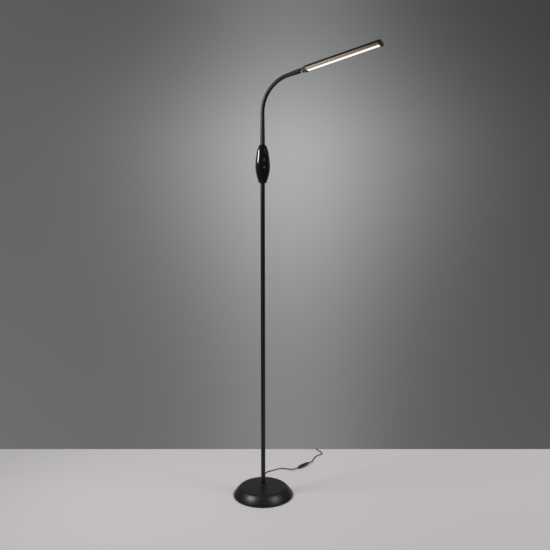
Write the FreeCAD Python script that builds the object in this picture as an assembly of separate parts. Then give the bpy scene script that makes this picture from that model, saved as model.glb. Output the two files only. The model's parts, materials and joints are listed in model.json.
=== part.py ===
"""Gooseneck reading floor lamp, in millimetres.

The origin is on the floor at the middle of the round base, +Z is up, and the neck and the lit
head bend out along +X. Each piece is written to parts/NODE.step.
"""
import FreeCAD
import Part
import math
import os
from FreeCAD import Placement
from FreeCAD import Rotation
from FreeCAD import Vector

os.makedirs("parts", exist_ok=True)

# ---------------------------------------------------------------- driving dimensions
# General fits
FIT = 0.05                    # radial play between parts screwed or pressed together
SLIP = 0.15                   # radial play round a part that is only located
SEAT = 0.3                    # gap left between parts that rest on each other
OVERRUN = 5.0                 # how far a cutter runs past what it cuts

# Base
BASE_DIAMETER = 200.0
BASE_HEIGHT = 32.5            # floor to the flat middle of the base's top
BASE_CROWN = 1.0              # how far the top falls from its middle to the shoulder
BASE_SHOULDER = 19.5          # radius of the round shoulder
BASE_SLOPES = (40.0, 60.0)    # degrees that the side falls under the shoulder and over the edge
BASE_EDGE = 3.0               # radius of the edge at the floor
BASE_CURL = 1.3               # height of the curled-in rim under the widest circle
BASE_WALL = 1.6
PAD_THICKNESS = 1.5
PAD_INSET = 3.0               # the soft sheet stops this far inside the bottom plate's edge
PLATE_THICKNESS = 2.0
WEIGHT_HEIGHT = 22.5
WEIGHT_INSET = 9.0            # ballast to the edge of the bottom plate
WEIGHT_CHAMFER = 12.0
CLAMP_RADIUS = 20.0           # flat middle of the base, where the pole clamps the shell
CHANNEL_WIDTH = 6.5           # cable channel under the ballast
NUT_RECESS_RADIUS = 12.0
BASE_SCREW_CIRCLE = 130.0
BASE_SCREW_COUNT = 4

# Pole
POLE_DIAMETER = 14.4
POLE_WALL = 1.0
POLE_SECTIONS = 3
SECTION_LENGTH = 338.0
SECTION_EDGE = 0.3            # bevel on the tube ends, which shows as a fine line at a joint
THREAD_RADIUS = 4.0
CABLE_BORE = 2.3              # radius of the bore through bolt and studs
INSERT_LENGTH = 24.0
STUD_LENGTH = 18.0
STUD_ROOT = 25.0
COLLAR_RADIUS = 10.5
COLLAR_HEIGHT = 4.0
COLLAR_FLOOR = 1.5            # thickness of the collar under the tube's end
NUT_FLATS = 15.0
NUT_HEIGHT = 5.5
NUT_FLANGE = 1.5

# Cable and its exit
CORD_DIAMETER = 3.5
CABLE_BEND = 7.5
LEAD_HEIGHT = 7.0             # floor to the middle of the cable in the base
GROMMET_BOOT = 12.0           # how far the grommet stands out of the shell
GROMMET_FLANGE = 3.3
GROMMET_NECK = 2.7
GROMMET_BARB = 3.0            # length of the barbed end inside the shell

# Screws (one countersunk size closes the base and the control housing)
SCREW_RADIUS = 1.5
SCREW_HEAD_RADIUS = 2.9
SCREW_HEAD_HEIGHT = 1.6
SCREW_LENGTH = 12.0

# Control housing
HOUSING_HEIGHT = 120.0
HOUSING_WIDTH = 44.0
HOUSING_FRONT_DEPTH = 17.0    # seam to the front at the widest point
HOUSING_REAR_DEPTH = 19.0     # seam to the back at the widest point
HOUSING_WALL = 2.0
HOUSING_TURN = 40.0           # degrees from -Y to where the buttons face
SEAM_GROOVE = (0.25, 0.6)     # half width and depth of the fine groove round the seam
TUBE_ENTRY = 8.0              # how far the pole reaches into the housing
SOCKET_RADIUS = 8.5
SOCKET_LENGTH = 14.0
RIB = 2.0
BUTTON_WIDTH = 8.0
BUTTON_HEIGHT = 12.0
BUTTON_GAP = 0.25             # round each button
BUTTON_PROUD = 0.8
BUTTON_TRAVEL = 0.6
BUTTON_LIP = 1.0
BUTTON_FLANGE = 1.0
BUTTON_SPACING = 23.0
BUTTON_DROP = 1.75            # the pair sits this far below the board's middle
BOARD_THICKNESS = 1.6
BOARD_WIDTH = 24.0
BOARD_CLEAR = 8.25            # housing screw to the board's end
BOARD_FRONT = 8.2             # seam to the board's front face
BOARD_POST = 1.6
POST_INSET = 3.0              # post to the board's edges
SWITCH_SIDE = 6.0
SWITCH_HEIGHT = 3.4
SWITCH_PLUNGER = (1.75, 1.0)  # radius and height
DRIVER_COIL = (3.2, 7.0, 6.5, 9.0)         # radius, height, sideways, above the board's end
CAPACITOR = (4.5, 4.0, -5.5, 12.0)         # the same for the capacitor
TERMINAL = (14.0, 5.0, 7.0)                # width, depth and height
TERMINAL_INSET = 5.0          # below the board's upper end
HOUSING_SCREW_LOW = 32.5      # above the housing's lower end
HOUSING_SCREW_HIGH = 28.0     # below its upper end
HOUSING_SCREW_BITE = 4.0      # how far the screws reach in front of the seam
HOUSING_BOSS = 3.6

# Gooseneck
NECK_RISE = 100.0             # straight up out of the housing
NECK_BEND_RADIUS = 115.0
NECK_BEND = 75.5              # degrees turned between the rise and the head
NECK_RUN = 42.0               # straight into the head
SLEEVE_FOOT_RADIUS = 7.5      # at the housing
SLEEVE_RADIUS = 6.3
SLEEVE_END_RADIUS = 7.7       # at the head
SLEEVE_FOOT_STRAIGHT = 14.0
SLEEVE_END_STRAIGHT = 8.0
HOSE_RADIUS = 4.3
HOSE_BORE = 2.4
LOWER_JOINTS = (35.0, 50.0, 65.0, 80.0)   # distances along the neck: sway, lean, sway, lean
BEND_JOINTS = 5
BALL_SHARE = 1.3              # ball radius at a joint over the sleeve's radius there
BALL_GAP = 0.3
HOSE_TAIL = 22.0              # hose that is clamped inside the housing
HOSE_IN_HEAD = 14.5           # hose that is clamped inside the head
FITTING_WALL = 1.7

# Lit head
HEAD_LENGTH = 259.0
HEAD_WIDTH = 38.0
HEAD_THICKNESS = 14.0
HEAD_EDGE = 4.5               # radius along the head's upper edges
HEAD_WALL = 1.6
HEAD_COLLAR_RADIUS = 6.6
HEAD_COLLAR = 3.5             # bright ring between the neck and the head
HEAD_ROOT = 20.0              # from the neck's end to where the lit panel starts
HEAD_TIP = 10.0
HEAD_TIP_CORNER = 7.0
HEAD_BOSS_RADIUS = 7.2
SPIGOT = 8.0
RAIL_LEAN = 0.5               # the side band leans in by this much towards the panel
RAIL_LIP = 1.6                # dark lip under the side band
PANEL_WIDTH = 29.0            # lit width between the lips
PANEL_THICKNESS = 1.6
PANEL_LAP = 0.9               # how far the panel reaches over each lip
LIP_THICKNESS = 0.8
STRIP_WIDTH = 12.0
LED_COUNT = 18
LED_SIZE = (3.5, 2.8, 0.8)
GRUB_LENGTH = 5.0

# In-line coupling and plug-in adapter
SOCKET_BODY = (36.0, 6.0)     # length and radius of the coupling's socket half
PLUG_BODY = (30.0, 5.2)
PLUG_BARREL = (9.0, 2.75)
ADAPTER_SIZE = (64.0, 40.0, 27.0)
ADAPTER_EDGE = 4.0
ADAPTER_BOOT = (12.0, 3.4)
PIN_RADIUS = 2.0
PIN_LENGTH = 19.0
PIN_SPACING = 18.6

# Put-away coil
COIL_TURNS = 3                # in each layer
COIL_LAYERS = 4
COIL_MEAN_RADIUS = 17.6
COIL_LEAD_IN = 5.0            # straight before the first turn
COIL_LEAD_OUT = 16.0          # straight from the last turn to the adapter
COIL_PITCH = 4.4             # from turn to turn and from layer to layer
TIE_WIDTH = 7.0
TIE_THICKNESS = 0.8
TIE_PLAY = 0.9                # between the strap and the turns beside it

# The way the lead lies: the floor is measured to the right and away from the front of the lamp
FRONT_AZIMUTH = 20.0
LEAD_AZIMUTH = 110.0          # the side of the base where the lead leaves
LAMP_LEAD_ROUTE = (
    (0.0, 124.0, 6.0),
    (0.6, 139.0, 3.6),
    (1.0, 155.0, 1.8),
    (2.5, 170.0, 1.8),
    (11.0, 185.0, 1.8),
    (28.0, 196.0, 1.8),
    (50.0, 212.0, 1.8),
    (69.0, 217.0, 1.8),
    (84.5, 210.5, 2.6),
    (97.5, 201.0, 4.6),
)
LEAD_STRAIGHTS = (16.0, 12.0)   # lead that runs in line with the coupling before and after it
COUPLING_START = (123.0, 212.0)
COUPLING_HEADING = 47.5       # degrees from right towards away
ADAPTER_LEAD_ROUTE = (
    (181.0, 283.0, 3.0),
    (185.0, 299.0, 1.8),
    (190.0, 316.0, 1.8),
    (197.0, 332.0, 1.8),
    (208.0, 344.0, 1.8),
    (220.0, 353.0, 1.8),
    (224.5, 367.0, 1.8),
    (218.5, 382.0, 1.8),
    (209.5, 395.0, 1.8),
    (204.8, 410.0, 1.9),
)
COIL_CENTRE = (182.0, 447.0)

# ---------------------------------------------------------------- worked-out places
pole_radius = POLE_DIAMETER / 2
cord_radius = CORD_DIAMETER / 2
base_radius = BASE_DIAMETER / 2
rim_radius = base_radius - BASE_EDGE + math.sqrt((BASE_EDGE - BASE_WALL) ** 2 - BASE_CURL ** 2)
plate_radius = rim_radius - SEAT
weight_bottom = PAD_THICKNESS + PLATE_THICKNESS
weight_top = weight_bottom + WEIGHT_HEIGHT
clamp_z = BASE_HEIGHT - BASE_WALL
bolt_bottom = LEAD_HEIGHT + CABLE_BEND + SEAT
nut_bottom = bolt_bottom + 1.0
nut_seat = nut_bottom + NUT_HEIGHT + NUT_FLANGE
pole_bottom = BASE_HEIGHT + COLLAR_FLOOR
pole_top = pole_bottom + POLE_SECTIONS * SECTION_LENGTH
housing_z = pole_top - TUBE_ENTRY
neck_z = housing_z + HOUSING_HEIGHT
housing_screw_heights = (HOUSING_SCREW_LOW, HOUSING_HEIGHT - HOUSING_SCREW_HIGH)
board_low = housing_screw_heights[0] + BOARD_CLEAR
board_high = housing_screw_heights[1] - BOARD_CLEAR
button_middle = (board_low + board_high) / 2 - BUTTON_DROP
button_heights = (button_middle - BUTTON_SPACING / 2, button_middle + BUTTON_SPACING / 2)
bend_length = NECK_BEND_RADIUS * math.radians(NECK_BEND)
neck_length = NECK_RISE + bend_length + NECK_RUN
bend_step = bend_length / BEND_JOINTS
neck_joints = list(LOWER_JOINTS)
neck_joints += [NECK_RISE + (k + 0.5) * bend_step for k in range(BEND_JOINTS)]
sleeve_bore = HOSE_RADIUS + SLIP


# ---------------------------------------------------------------- shape helpers
def line(start, end):
    return Part.LineSegment(start, end).toShape()


def arc(start, middle, end):
    return Part.Arc(start, middle, end).toShape()


def on_circle(centre, radius, angle):
    """Point in the XZ plane at an angle in degrees from +X to +Z."""
    turn = math.radians(angle)
    return centre + Vector(radius * math.cos(turn), 0, radius * math.sin(turn))


def round_arc(centre, radius, start, end):
    """Arc in the XZ plane about a centre, from one angle to another in degrees from +X to +Z."""
    return arc(*[on_circle(centre, radius, angle) for angle in (start, (start + end) / 2, end)])


def spun(edges):
    """Solid of revolution about Z from a closed outline in the XZ plane."""
    face = Part.Face(Part.Wire(edges))
    return face.revolve(Vector(0, 0, 0), Vector(0, 0, 1), 360)


def turned(points):
    """Turned part about Z from the corners (radius, height) of its half section."""
    corners = [Vector(radius, 0, height) for radius, height in points]
    return spun([line(a, b) for a, b in zip(corners, corners[1:] + corners[:1])])


def rod(radius, bottom, top, x=0.0, y=0.0):
    return Part.makeCylinder(radius, top - bottom, Vector(x, y, bottom))


def tube(outer, inner, bottom, top):
    return rod(outer, bottom, top).cut(rod(inner, bottom - 1, top + 1))


def block(low, high):
    size = Vector(*high) - Vector(*low)
    return Part.makeBox(size.x, size.y, size.z, Vector(*low))


def prism(points, plane, depth):
    """Closed polygon whose corners plane() places, pushed along a depth vector."""
    corners = [plane(*point) for point in points]
    face = Part.Face(Part.makePolygon(corners + corners[:1]))
    return face.extrude(depth)


def stadium(width, height, bottom, top):
    """Upright round-ended prism, longer along Y, between two heights."""
    straight = height - width
    middle = block((-width / 2, -straight / 2, bottom), (width / 2, straight / 2, top))
    ends = [rod(width / 2, bottom, top, 0, side * straight / 2) for side in (-1, 1)]
    return middle.fuse(ends).removeSplitter()


def countersunk(play):
    """Screw along -Z, its flat head's face at the origin, enlarged all round by a play."""
    head = SCREW_HEAD_RADIUS + play
    shank = SCREW_RADIUS + play
    return turned(((0, 0), (head, 0), (shank, -SCREW_HEAD_HEIGHT - play),
                   (shank, -SCREW_LENGTH - play), (0, -SCREW_LENGTH - play)))


def placed(shape, position, rotation=None):
    """Copy that is turned about the origin and then moved, from wherever it was."""
    copy = shape.copy()
    copy.Placement = Placement(position, rotation or Rotation()).multiply(copy.Placement)
    return copy


def about_z(shape, degrees):
    copy = shape.copy()
    copy.rotate(Vector(0, 0, 0), Vector(0, 0, 1), degrees)
    return copy


def export(node, *solids):
    shape = solids[0] if len(solids) == 1 else Part.makeCompound(list(solids))
    if not shape.isValid():
        print("not valid:", node)
    shape.exportStep(os.path.join("parts", node + ".step"))
    print("%-20s %d solids %10.1f mm3" % (node, len(shape.Solids), shape.Volume))


# ---------------------------------------------------------------- base
shoulder_angle, edge_angle = [90 - slope for slope in BASE_SLOPES]
edge_centre = Vector(base_radius - BASE_EDGE, 0, PAD_THICKNESS + BASE_CURL)
shoulder_z = BASE_HEIGHT - BASE_CROWN - BASE_SHOULDER
side_low = on_circle(edge_centre, BASE_EDGE, edge_angle)
side_rise = shoulder_z + BASE_SHOULDER * math.sin(math.radians(shoulder_angle)) - side_low.z
side_radius = side_rise / (math.sin(math.radians(shoulder_angle))
                           - math.sin(math.radians(edge_angle)))
side_centre = on_circle(side_low, -side_radius, edge_angle)
shoulder_centre = on_circle(side_centre, side_radius - BASE_SHOULDER, shoulder_angle)


def shell_outline(wall):
    """Outer (wall 0) or inner edges of the base shell's half section, from rim to middle."""
    rim_angle = -math.degrees(math.asin(BASE_CURL / (BASE_EDGE - wall)))
    top = BASE_HEIGHT - wall
    edge = Vector(shoulder_centre.x, 0, top - BASE_CROWN)
    inner = Vector(CLAMP_RADIUS + 2, 0, top)
    middle = (edge + inner) / 2 + Vector(0, 0, BASE_CROWN / 4)
    axis = Vector(THREAD_RADIUS + SLIP, 0, top)
    return [round_arc(edge_centre, BASE_EDGE - wall, rim_angle, edge_angle),
            round_arc(side_centre, side_radius - wall, edge_angle, shoulder_angle),
            round_arc(shoulder_centre, BASE_SHOULDER - wall, shoulder_angle, 90),
            arc(edge, middle, inner),
            line(inner, axis)]


def end_points(edges):
    return edges[0].firstVertex().Point, edges[-1].lastVertex().Point


def wall_radius(height):
    """Radius of the inside of the shell's side at a height over the floor."""
    above = height - side_centre.z
    return side_centre.x + math.sqrt((side_radius - BASE_WALL) ** 2 - above ** 2)


def base_shell():
    outer = shell_outline(0)
    inner = shell_outline(BASE_WALL)
    outer_rim, outer_axis = end_points(outer)
    inner_rim, inner_axis = end_points(inner)
    edges = outer + [line(outer_axis, inner_axis)] + inner + [line(inner_rim, outer_rim)]
    shell = spun(Part.__sortEdges__(edges))
    start = Vector(wall_radius(LEAD_HEIGHT + GROMMET_FLANGE) - OVERRUN, 0, LEAD_HEIGHT)
    hole = Part.makeCylinder(GROMMET_NECK + SLIP, base_radius, start, Vector(1, 0, 0))
    return shell.cut(about_z(hole, LEAD_AZIMUTH))


def base_screw_places(z):
    places = []
    for k in range(BASE_SCREW_COUNT):
        turn = math.radians(LEAD_AZIMUTH + 360 / BASE_SCREW_COUNT * (k + 0.5))
        places.append(Vector(BASE_SCREW_CIRCLE / 2 * math.cos(turn),
                             BASE_SCREW_CIRCLE / 2 * math.sin(turn), z))
    return places


def base_screws(play=0.0):
    head_up = Rotation(Vector(1, 0, 0), 180)
    return [placed(countersunk(play), place, head_up)
            for place in base_screw_places(PAD_THICKNESS)]


def base_weight():
    outer = plate_radius - WEIGHT_INSET
    casting = turned(((THREAD_RADIUS + SLIP, nut_seat), (NUT_RECESS_RADIUS, nut_seat),
                      (NUT_RECESS_RADIUS, weight_bottom), (outer, weight_bottom),
                      (outer, weight_top - WEIGHT_CHAMFER),
                      (outer - WEIGHT_CHAMFER, weight_top), (CLAMP_RADIUS, weight_top),
                      (CLAMP_RADIUS - 2, clamp_z), (THREAD_RADIUS + SLIP, clamp_z)))
    channel = block((0, -CHANNEL_WIDTH / 2, weight_bottom - 1),
                    (outer + 1, CHANNEL_WIDTH / 2, LEAD_HEIGHT + CHANNEL_WIDTH / 2))
    return casting.cut(about_z(channel, LEAD_AZIMUTH)).cut(Part.makeCompound(base_screws(FIT)))


def base_plate():
    disc = rod(plate_radius, PAD_THICKNESS, weight_bottom)
    return disc.cut(Part.makeCompound(base_screws(FIT)))


def flanged_nut():
    hexagon = []
    for k in range(6):
        turn = math.radians(60 * k)
        corner = NUT_FLATS / 2 / math.cos(math.radians(30))
        hexagon.append((corner * math.cos(turn), corner * math.sin(turn)))
    body = prism(hexagon, lambda x, y: Vector(x, y, nut_bottom), Vector(0, 0, NUT_HEIGHT))
    flange = rod(NUT_RECESS_RADIUS - 1, nut_bottom + NUT_HEIGHT, nut_seat)
    bore = rod(THREAD_RADIUS + FIT, 0, nut_seat + 1)
    return body.fuse(flange).cut(bore)


def grommet():
    """Soft bush through the shell's sloping back, tapered towards the lead."""
    outside = base_radius + SEAT
    inside = wall_radius(LEAD_HEIGHT + GROMMET_FLANGE) - SEAT
    barb = inside - GROMMET_BARB
    profile = ((cord_radius + FIT, barb), (GROMMET_FLANGE - 0.6, barb),
               (GROMMET_FLANGE, barb + GROMMET_BARB / 2), (GROMMET_NECK, inside),
               (GROMMET_NECK, outside),
               (GROMMET_FLANGE, outside), (GROMMET_FLANGE, outside + 1.2),
               (cord_radius + 1.2, outside + 2.2),
               (cord_radius + 0.6, base_radius + GROMMET_BOOT),
               (cord_radius + FIT, base_radius + GROMMET_BOOT))
    bush = turned(profile)
    bush.rotate(Vector(0, 0, 0), Vector(0, 1, 0), 90)
    bush.translate(Vector(0, 0, LEAD_HEIGHT))
    return about_z(bush, LEAD_AZIMUTH)


def inner_cable():
    """Cable from the grommet, under the ballast, up through bolt and pole to the housing."""
    outer_end = Vector(base_radius + GROMMET_BOOT, 0, LEAD_HEIGHT)
    bend_start = Vector(CABLE_BEND, 0, LEAD_HEIGHT)
    bend_centre = Vector(CABLE_BEND, 0, LEAD_HEIGHT + CABLE_BEND)
    bend_end = Vector(0, 0, LEAD_HEIGHT + CABLE_BEND)
    upper_end = Vector(0, 0, pole_top + SOCKET_LENGTH + 4)
    path = Part.Wire([line(outer_end, bend_start),
                      round_arc(bend_centre, CABLE_BEND, 270, 180),
                      line(bend_end, upper_end)])
    section = Part.Wire(Part.makeCircle(cord_radius, outer_end, Vector(-1, 0, 0)))
    return about_z(path.makePipeShell([section], True, False), LEAD_AZIMUTH)


# ---------------------------------------------------------------- pole
def pole_section(k):
    low = pole_bottom + k * SECTION_LENGTH
    high = low + SECTION_LENGTH
    bore = pole_radius - POLE_WALL
    edge = pole_radius - SECTION_EDGE
    return turned(((bore, low), (edge, low), (pole_radius, low + SECTION_EDGE),
                   (pole_radius, high - SECTION_EDGE), (edge, high), (bore, high)))


def pole_insert(k):
    """Threaded bush pressed into the lower end of a section."""
    low = pole_bottom + k * SECTION_LENGTH
    return tube(pole_radius - POLE_WALL - FIT, THREAD_RADIUS + FIT, low, low + INSERT_LENGTH)


def pole_stud(k):
    """Hollow screw fixed in the upper end of a section."""
    top = pole_bottom + (k + 1) * SECTION_LENGTH
    outer = pole_radius - POLE_WALL - FIT
    return turned(((CABLE_BORE, top - STUD_ROOT), (outer, top - STUD_ROOT), (outer, top),
                   (THREAD_RADIUS, top), (THREAD_RADIUS, top + STUD_LENGTH - 1),
                   (THREAD_RADIUS - 1, top + STUD_LENGTH), (CABLE_BORE, top + STUD_LENGTH)))


def foot_collar():
    return turned(((THREAD_RADIUS + SLIP, BASE_HEIGHT), (COLLAR_RADIUS, BASE_HEIGHT),
                   (COLLAR_RADIUS, BASE_HEIGHT + COLLAR_HEIGHT - 1.2),
                   (COLLAR_RADIUS - 1.2, BASE_HEIGHT + COLLAR_HEIGHT),
                   (pole_radius + SLIP, BASE_HEIGHT + COLLAR_HEIGHT),
                   (pole_radius + SLIP, pole_bottom), (THREAD_RADIUS + SLIP, pole_bottom)))


# ---------------------------------------------------------------- control housing
# Stations up the housing: share of its height, then of its width, front and rear depth
HOUSING_STATIONS = (
    (0.0, 0.51, 0.60, 0.58),
    (0.06, 0.62, 0.70, 0.68),
    (0.22, 0.87, 0.84, 0.86),
    (0.52, 1.00, 1.00, 1.00),
    (0.80, 0.81, 0.78, 0.96),
    (0.93, 0.62, 0.55, 0.76),
    (1.0, 0.43, 0.48, 0.52),
)
FRONT_ROUNDNESS = 2.4
REAR_ROUNDNESS = 3.0


def half_section(half_width, depth, roundness, z):
    """Rounded half outline from -X to +X through Y = depth, closed by its chord at Y = 0."""
    points = []
    steps = 8
    for k in range(steps + 1):
        turn = math.pi * k / steps
        across = math.cos(turn)
        along = math.sin(turn)
        x = -half_width * math.copysign(abs(across) ** (2 / roundness), across)
        y = depth * max(along, 0.0) ** (2 / roundness)
        points.append(Vector(x, y, z))
    side = math.copysign(1, depth)
    curve = Part.BSplineCurve()
    curve.interpolate(Points=points, InitialTangent=Vector(0, side, 0),
                      FinalTangent=Vector(0, -side, 0))
    return Part.Wire([curve.toShape(), line(points[-1], points[0])])


def housing_half(side, inset):
    """Solid front (side -1) or rear (side 1) half of the housing, inset by a wall."""
    depth = HOUSING_FRONT_DEPTH if side < 0 else HOUSING_REAR_DEPTH
    roundness = FRONT_ROUNDNESS if side < 0 else REAR_ROUNDNESS
    wires = []
    for share, wide, front, rear in HOUSING_STATIONS:
        reach = depth * (front if side < 0 else rear) - inset
        z = inset + share * (HOUSING_HEIGHT - 2 * inset)
        wires.append(half_section(HOUSING_WIDTH / 2 * wide - inset, side * reach, roundness, z))
    return Part.makeLoft(wires, True, False)


def housing_screws(play=0.0):
    """Countersunk screws that enter from the back, heads sunk into their bosses."""
    inward = Rotation(Vector(1, 0, 0), -90)
    return [placed(countersunk(play), Vector(0, housing_screw_face, z), inward)
            for z in housing_screw_heights]


def button_places():
    return [Vector(0, 0, z) for z in button_heights]


def button_prism(width, height, near, far):
    """Round-ended prism through the housing's front, between two distances from the seam."""
    upright = Rotation(Vector(1, 0, 0), 90)
    return placed(stadium(width, height, near, far), Vector(0, 0, 0), upright)


housing_screw_face = SCREW_LENGTH - HOUSING_SCREW_BITE
button_back = BOARD_FRONT + SWITCH_HEIGHT + SWITCH_PLUNGER[1] + BUTTON_TRAVEL + FIT * 2
button_seat = button_back + BUTTON_FLANGE + FIT * 2
button_face = HOUSING_FRONT_DEPTH + BUTTON_PROUD


def front_shell():
    outer = housing_half(-1, 0)
    inner = housing_half(-1, HOUSING_WALL)
    shell = outer.cut(inner)
    extras = []
    for place in button_places():
        pad = button_prism(BUTTON_WIDTH + 5, BUTTON_HEIGHT + 5, button_seat,
                           HOUSING_FRONT_DEPTH + OVERRUN)
        pad.translate(place)
        extras.append(pad.common(outer))
    for x in (-1, 1):
        for z in (board_low + POST_INSET, board_high - POST_INSET):
            post = Part.makeCylinder(BOARD_POST, HOUSING_FRONT_DEPTH,
                                     Vector(x * (BOARD_WIDTH / 2 - POST_INSET), -BOARD_FRONT, z),
                                     Vector(0, -1, 0))
            extras.append(post.common(outer))
    for z in housing_screw_heights:
        boss = Part.makeCylinder(HOUSING_BOSS, HOUSING_FRONT_DEPTH, Vector(0, 0, z),
                                 Vector(0, -1, 0))
        extras.append(boss.common(outer))
    extras += housing_ribs(inner)
    shell = shell.fuse(extras)
    for place in button_places():
        hole = button_prism(BUTTON_WIDTH + 2 * BUTTON_GAP, BUTTON_HEIGHT + 2 * BUTTON_GAP,
                            button_back - 1, HOUSING_FRONT_DEPTH + OVERRUN)
        play = 2 * (BUTTON_LIP + BUTTON_GAP)
        pocket = button_prism(BUTTON_WIDTH + play, BUTTON_HEIGHT + play, BOARD_FRONT,
                              button_seat)
        for cutter in (hole, pocket):
            cutter.translate(place)
            shell = shell.cut(cutter)
    return shell.cut([housing_bores(), seam_groove(-1)])


def seam_groove(side):
    """Cutter for one shell's share of the fine groove that runs round the seam."""
    half_gap, deep = SEAM_GROOVE
    wide = HOUSING_WIDTH
    slab = block((-wide, min(0, side * half_gap), -OVERRUN),
                 (wide, max(0, side * half_gap), HOUSING_HEIGHT + OVERRUN))
    return slab.cut(housing_half(side, deep))


def rear_shell():
    outer = housing_half(1, 0)
    inner = housing_half(1, HOUSING_WALL)
    extras = housing_ribs(inner)
    for z in housing_screw_heights:
        boss = Part.makeCylinder(HOUSING_BOSS, HOUSING_REAR_DEPTH, Vector(0, 0, z),
                                 Vector(0, 1, 0))
        extras.append(boss.common(outer))
    shell = outer.cut(inner).fuse(extras)
    for z in housing_screw_heights:
        well = Part.makeCylinder(SCREW_HEAD_RADIUS + SLIP, HOUSING_REAR_DEPTH,
                                 Vector(0, housing_screw_face, z), Vector(0, 1, 0))
        shell = shell.cut(well)
    return shell.cut([housing_bores(), seam_groove(1)])


def housing_ribs(inner):
    """Cross ribs that hold the pole's socket and the neck's fitting."""
    low = TUBE_ENTRY + SOCKET_LENGTH / 2
    high = HOUSING_HEIGHT - HOSE_TAIL + 4
    ribs = []
    for z in (low, high):
        slab = block((-HOUSING_WIDTH, -HOUSING_WIDTH, z), (HOUSING_WIDTH, HOUSING_WIDTH, z + RIB))
        ribs.append(slab.common(inner))
    return ribs


def housing_bores():
    """Everything that passes through the shells: pole, socket, fitting, hose and screws."""
    high = HOUSING_HEIGHT - HOSE_TAIL
    cuts = [rod(pole_radius + SLIP, -1, TUBE_ENTRY),
            rod(SOCKET_RADIUS + SLIP, TUBE_ENTRY, TUBE_ENTRY + SOCKET_LENGTH + SEAT),
            rod(HOSE_RADIUS + FITTING_WALL + SLIP, high - SEAT, HOUSING_HEIGHT - HOUSING_WALL),
            rod(HOSE_RADIUS + SLIP, HOUSING_HEIGHT - HOUSING_WALL - 1, HOUSING_HEIGHT + 1)]
    return Part.makeCompound(cuts + housing_screws(FIT))


def button():
    """Cap with a crowned face and a lip that holds it behind the front shell."""
    cap = button_prism(BUTTON_WIDTH, BUTTON_HEIGHT, button_back, button_face)
    lip = button_prism(BUTTON_WIDTH + 2 * BUTTON_LIP, BUTTON_HEIGHT + 2 * BUTTON_LIP,
                       button_back, button_back + BUTTON_FLANGE)
    crown_radius = BUTTON_HEIGHT * 3
    crown = Part.makeCylinder(crown_radius, BUTTON_WIDTH * 2,
                              Vector(-BUTTON_WIDTH, crown_radius - button_face, 0),
                              Vector(1, 0, 0))
    return cap.common(crown).fuse(lip).removeSplitter()


def control_board():
    return block((-BOARD_WIDTH / 2, -BOARD_FRONT, board_low),
                 (BOARD_WIDTH / 2, -BOARD_FRONT + BOARD_THICKNESS, board_high))


def board_parts():
    """A key switch behind each button, and the driver's coil, capacitor and terminal."""
    parts = []
    for place in button_places():
        half = SWITCH_SIDE / 2
        case = block((-half, -BOARD_FRONT - SWITCH_HEIGHT, -half), (half, -BOARD_FRONT, half))
        plunger = Part.makeCylinder(*SWITCH_PLUNGER, Vector(0, -BOARD_FRONT - SWITCH_HEIGHT, 0),
                                    Vector(0, -1, 0))
        switch = case.fuse(plunger)
        switch.translate(place)
        parts.append(switch)
    back = -BOARD_FRONT + BOARD_THICKNESS
    for radius, height, sideways, above in (DRIVER_COIL, CAPACITOR):
        foot = Vector(sideways, back, board_low + above)
        parts.append(Part.makeCylinder(radius, height, foot, Vector(0, 1, 0)))
    wide, deep, high = TERMINAL
    top = board_high - TERMINAL_INSET
    parts.append(block((-wide / 2, back, top - high), (wide / 2, back + deep, top)))
    return parts


def pole_socket():
    """Threaded bush that the pole's top stud screws into."""
    return tube(SOCKET_RADIUS, THREAD_RADIUS + FIT, TUBE_ENTRY, TUBE_ENTRY + SOCKET_LENGTH)


def fitting_lower():
    """Crimped end fitting of the hose, its flange under the housing's top."""
    low = HOUSING_HEIGHT - HOSE_TAIL
    top = HOUSING_HEIGHT - HOUSING_WALL - SEAT
    inner = HOSE_RADIUS + FIT
    outer = HOSE_RADIUS + FITTING_WALL
    return turned(((inner, low), (outer, low), (outer, top), (inner, top)))


def in_housing(shape):
    """From the housing's own frame, front along -Y, to its place on the pole."""
    turned_shape = about_z(shape, HOUSING_TURN)
    turned_shape.translate(Vector(0, 0, housing_z))
    return turned_shape


# ---------------------------------------------------------------- gooseneck
bend_centre = Vector(NECK_BEND_RADIUS, 0, neck_z + NECK_RISE)
bend_axis = Vector(0, 1, 0)


def neck_tilt(distance):
    """Degrees from the vertical at a distance along the neck."""
    turned_length = min(max(distance - NECK_RISE, 0.0), bend_length)
    return math.degrees(turned_length / NECK_BEND_RADIUS)


def neck_direction(distance):
    turn = math.radians(neck_tilt(distance))
    return Vector(math.sin(turn), 0, math.cos(turn))


def neck_point(distance):
    turn = math.radians(neck_tilt(distance))
    out = Vector(-math.cos(turn), 0, math.sin(turn)) * NECK_BEND_RADIUS
    past_bend = max(distance - NECK_RISE - bend_length, 0.0)
    before_bend = min(distance - NECK_RISE, 0.0)
    return bend_centre + out + neck_direction(distance) * (past_bend + before_bend)


def on_neck(shape, distance):
    """From a frame at the origin with +Z along the neck to a place on the neck."""
    return placed(shape, neck_point(distance), Rotation(bend_axis, neck_tilt(distance)))


def sleeve_radius(distance):
    """The sleeve narrows from the housing to the bend and widens again into the head."""
    narrowing = (distance - SLEEVE_FOOT_STRAIGHT) / (NECK_RISE - SLEEVE_FOOT_STRAIGHT)
    share = min(max(narrowing, 0.0), 1.0)
    return SLEEVE_FOOT_RADIUS + (SLEEVE_RADIUS - SLEEVE_FOOT_RADIUS) * share


def bent_rod(radius, start, end):
    """Round rod along the bend between two distances that lie in it."""
    disc = Part.Face(Part.Wire(Part.makeCircle(radius, Vector(0, 0, bend_centre.z))))
    disc.rotate(bend_centre, bend_axis, neck_tilt(start))
    return disc.revolve(bend_centre, bend_axis, neck_tilt(end) - neck_tilt(start))


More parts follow.
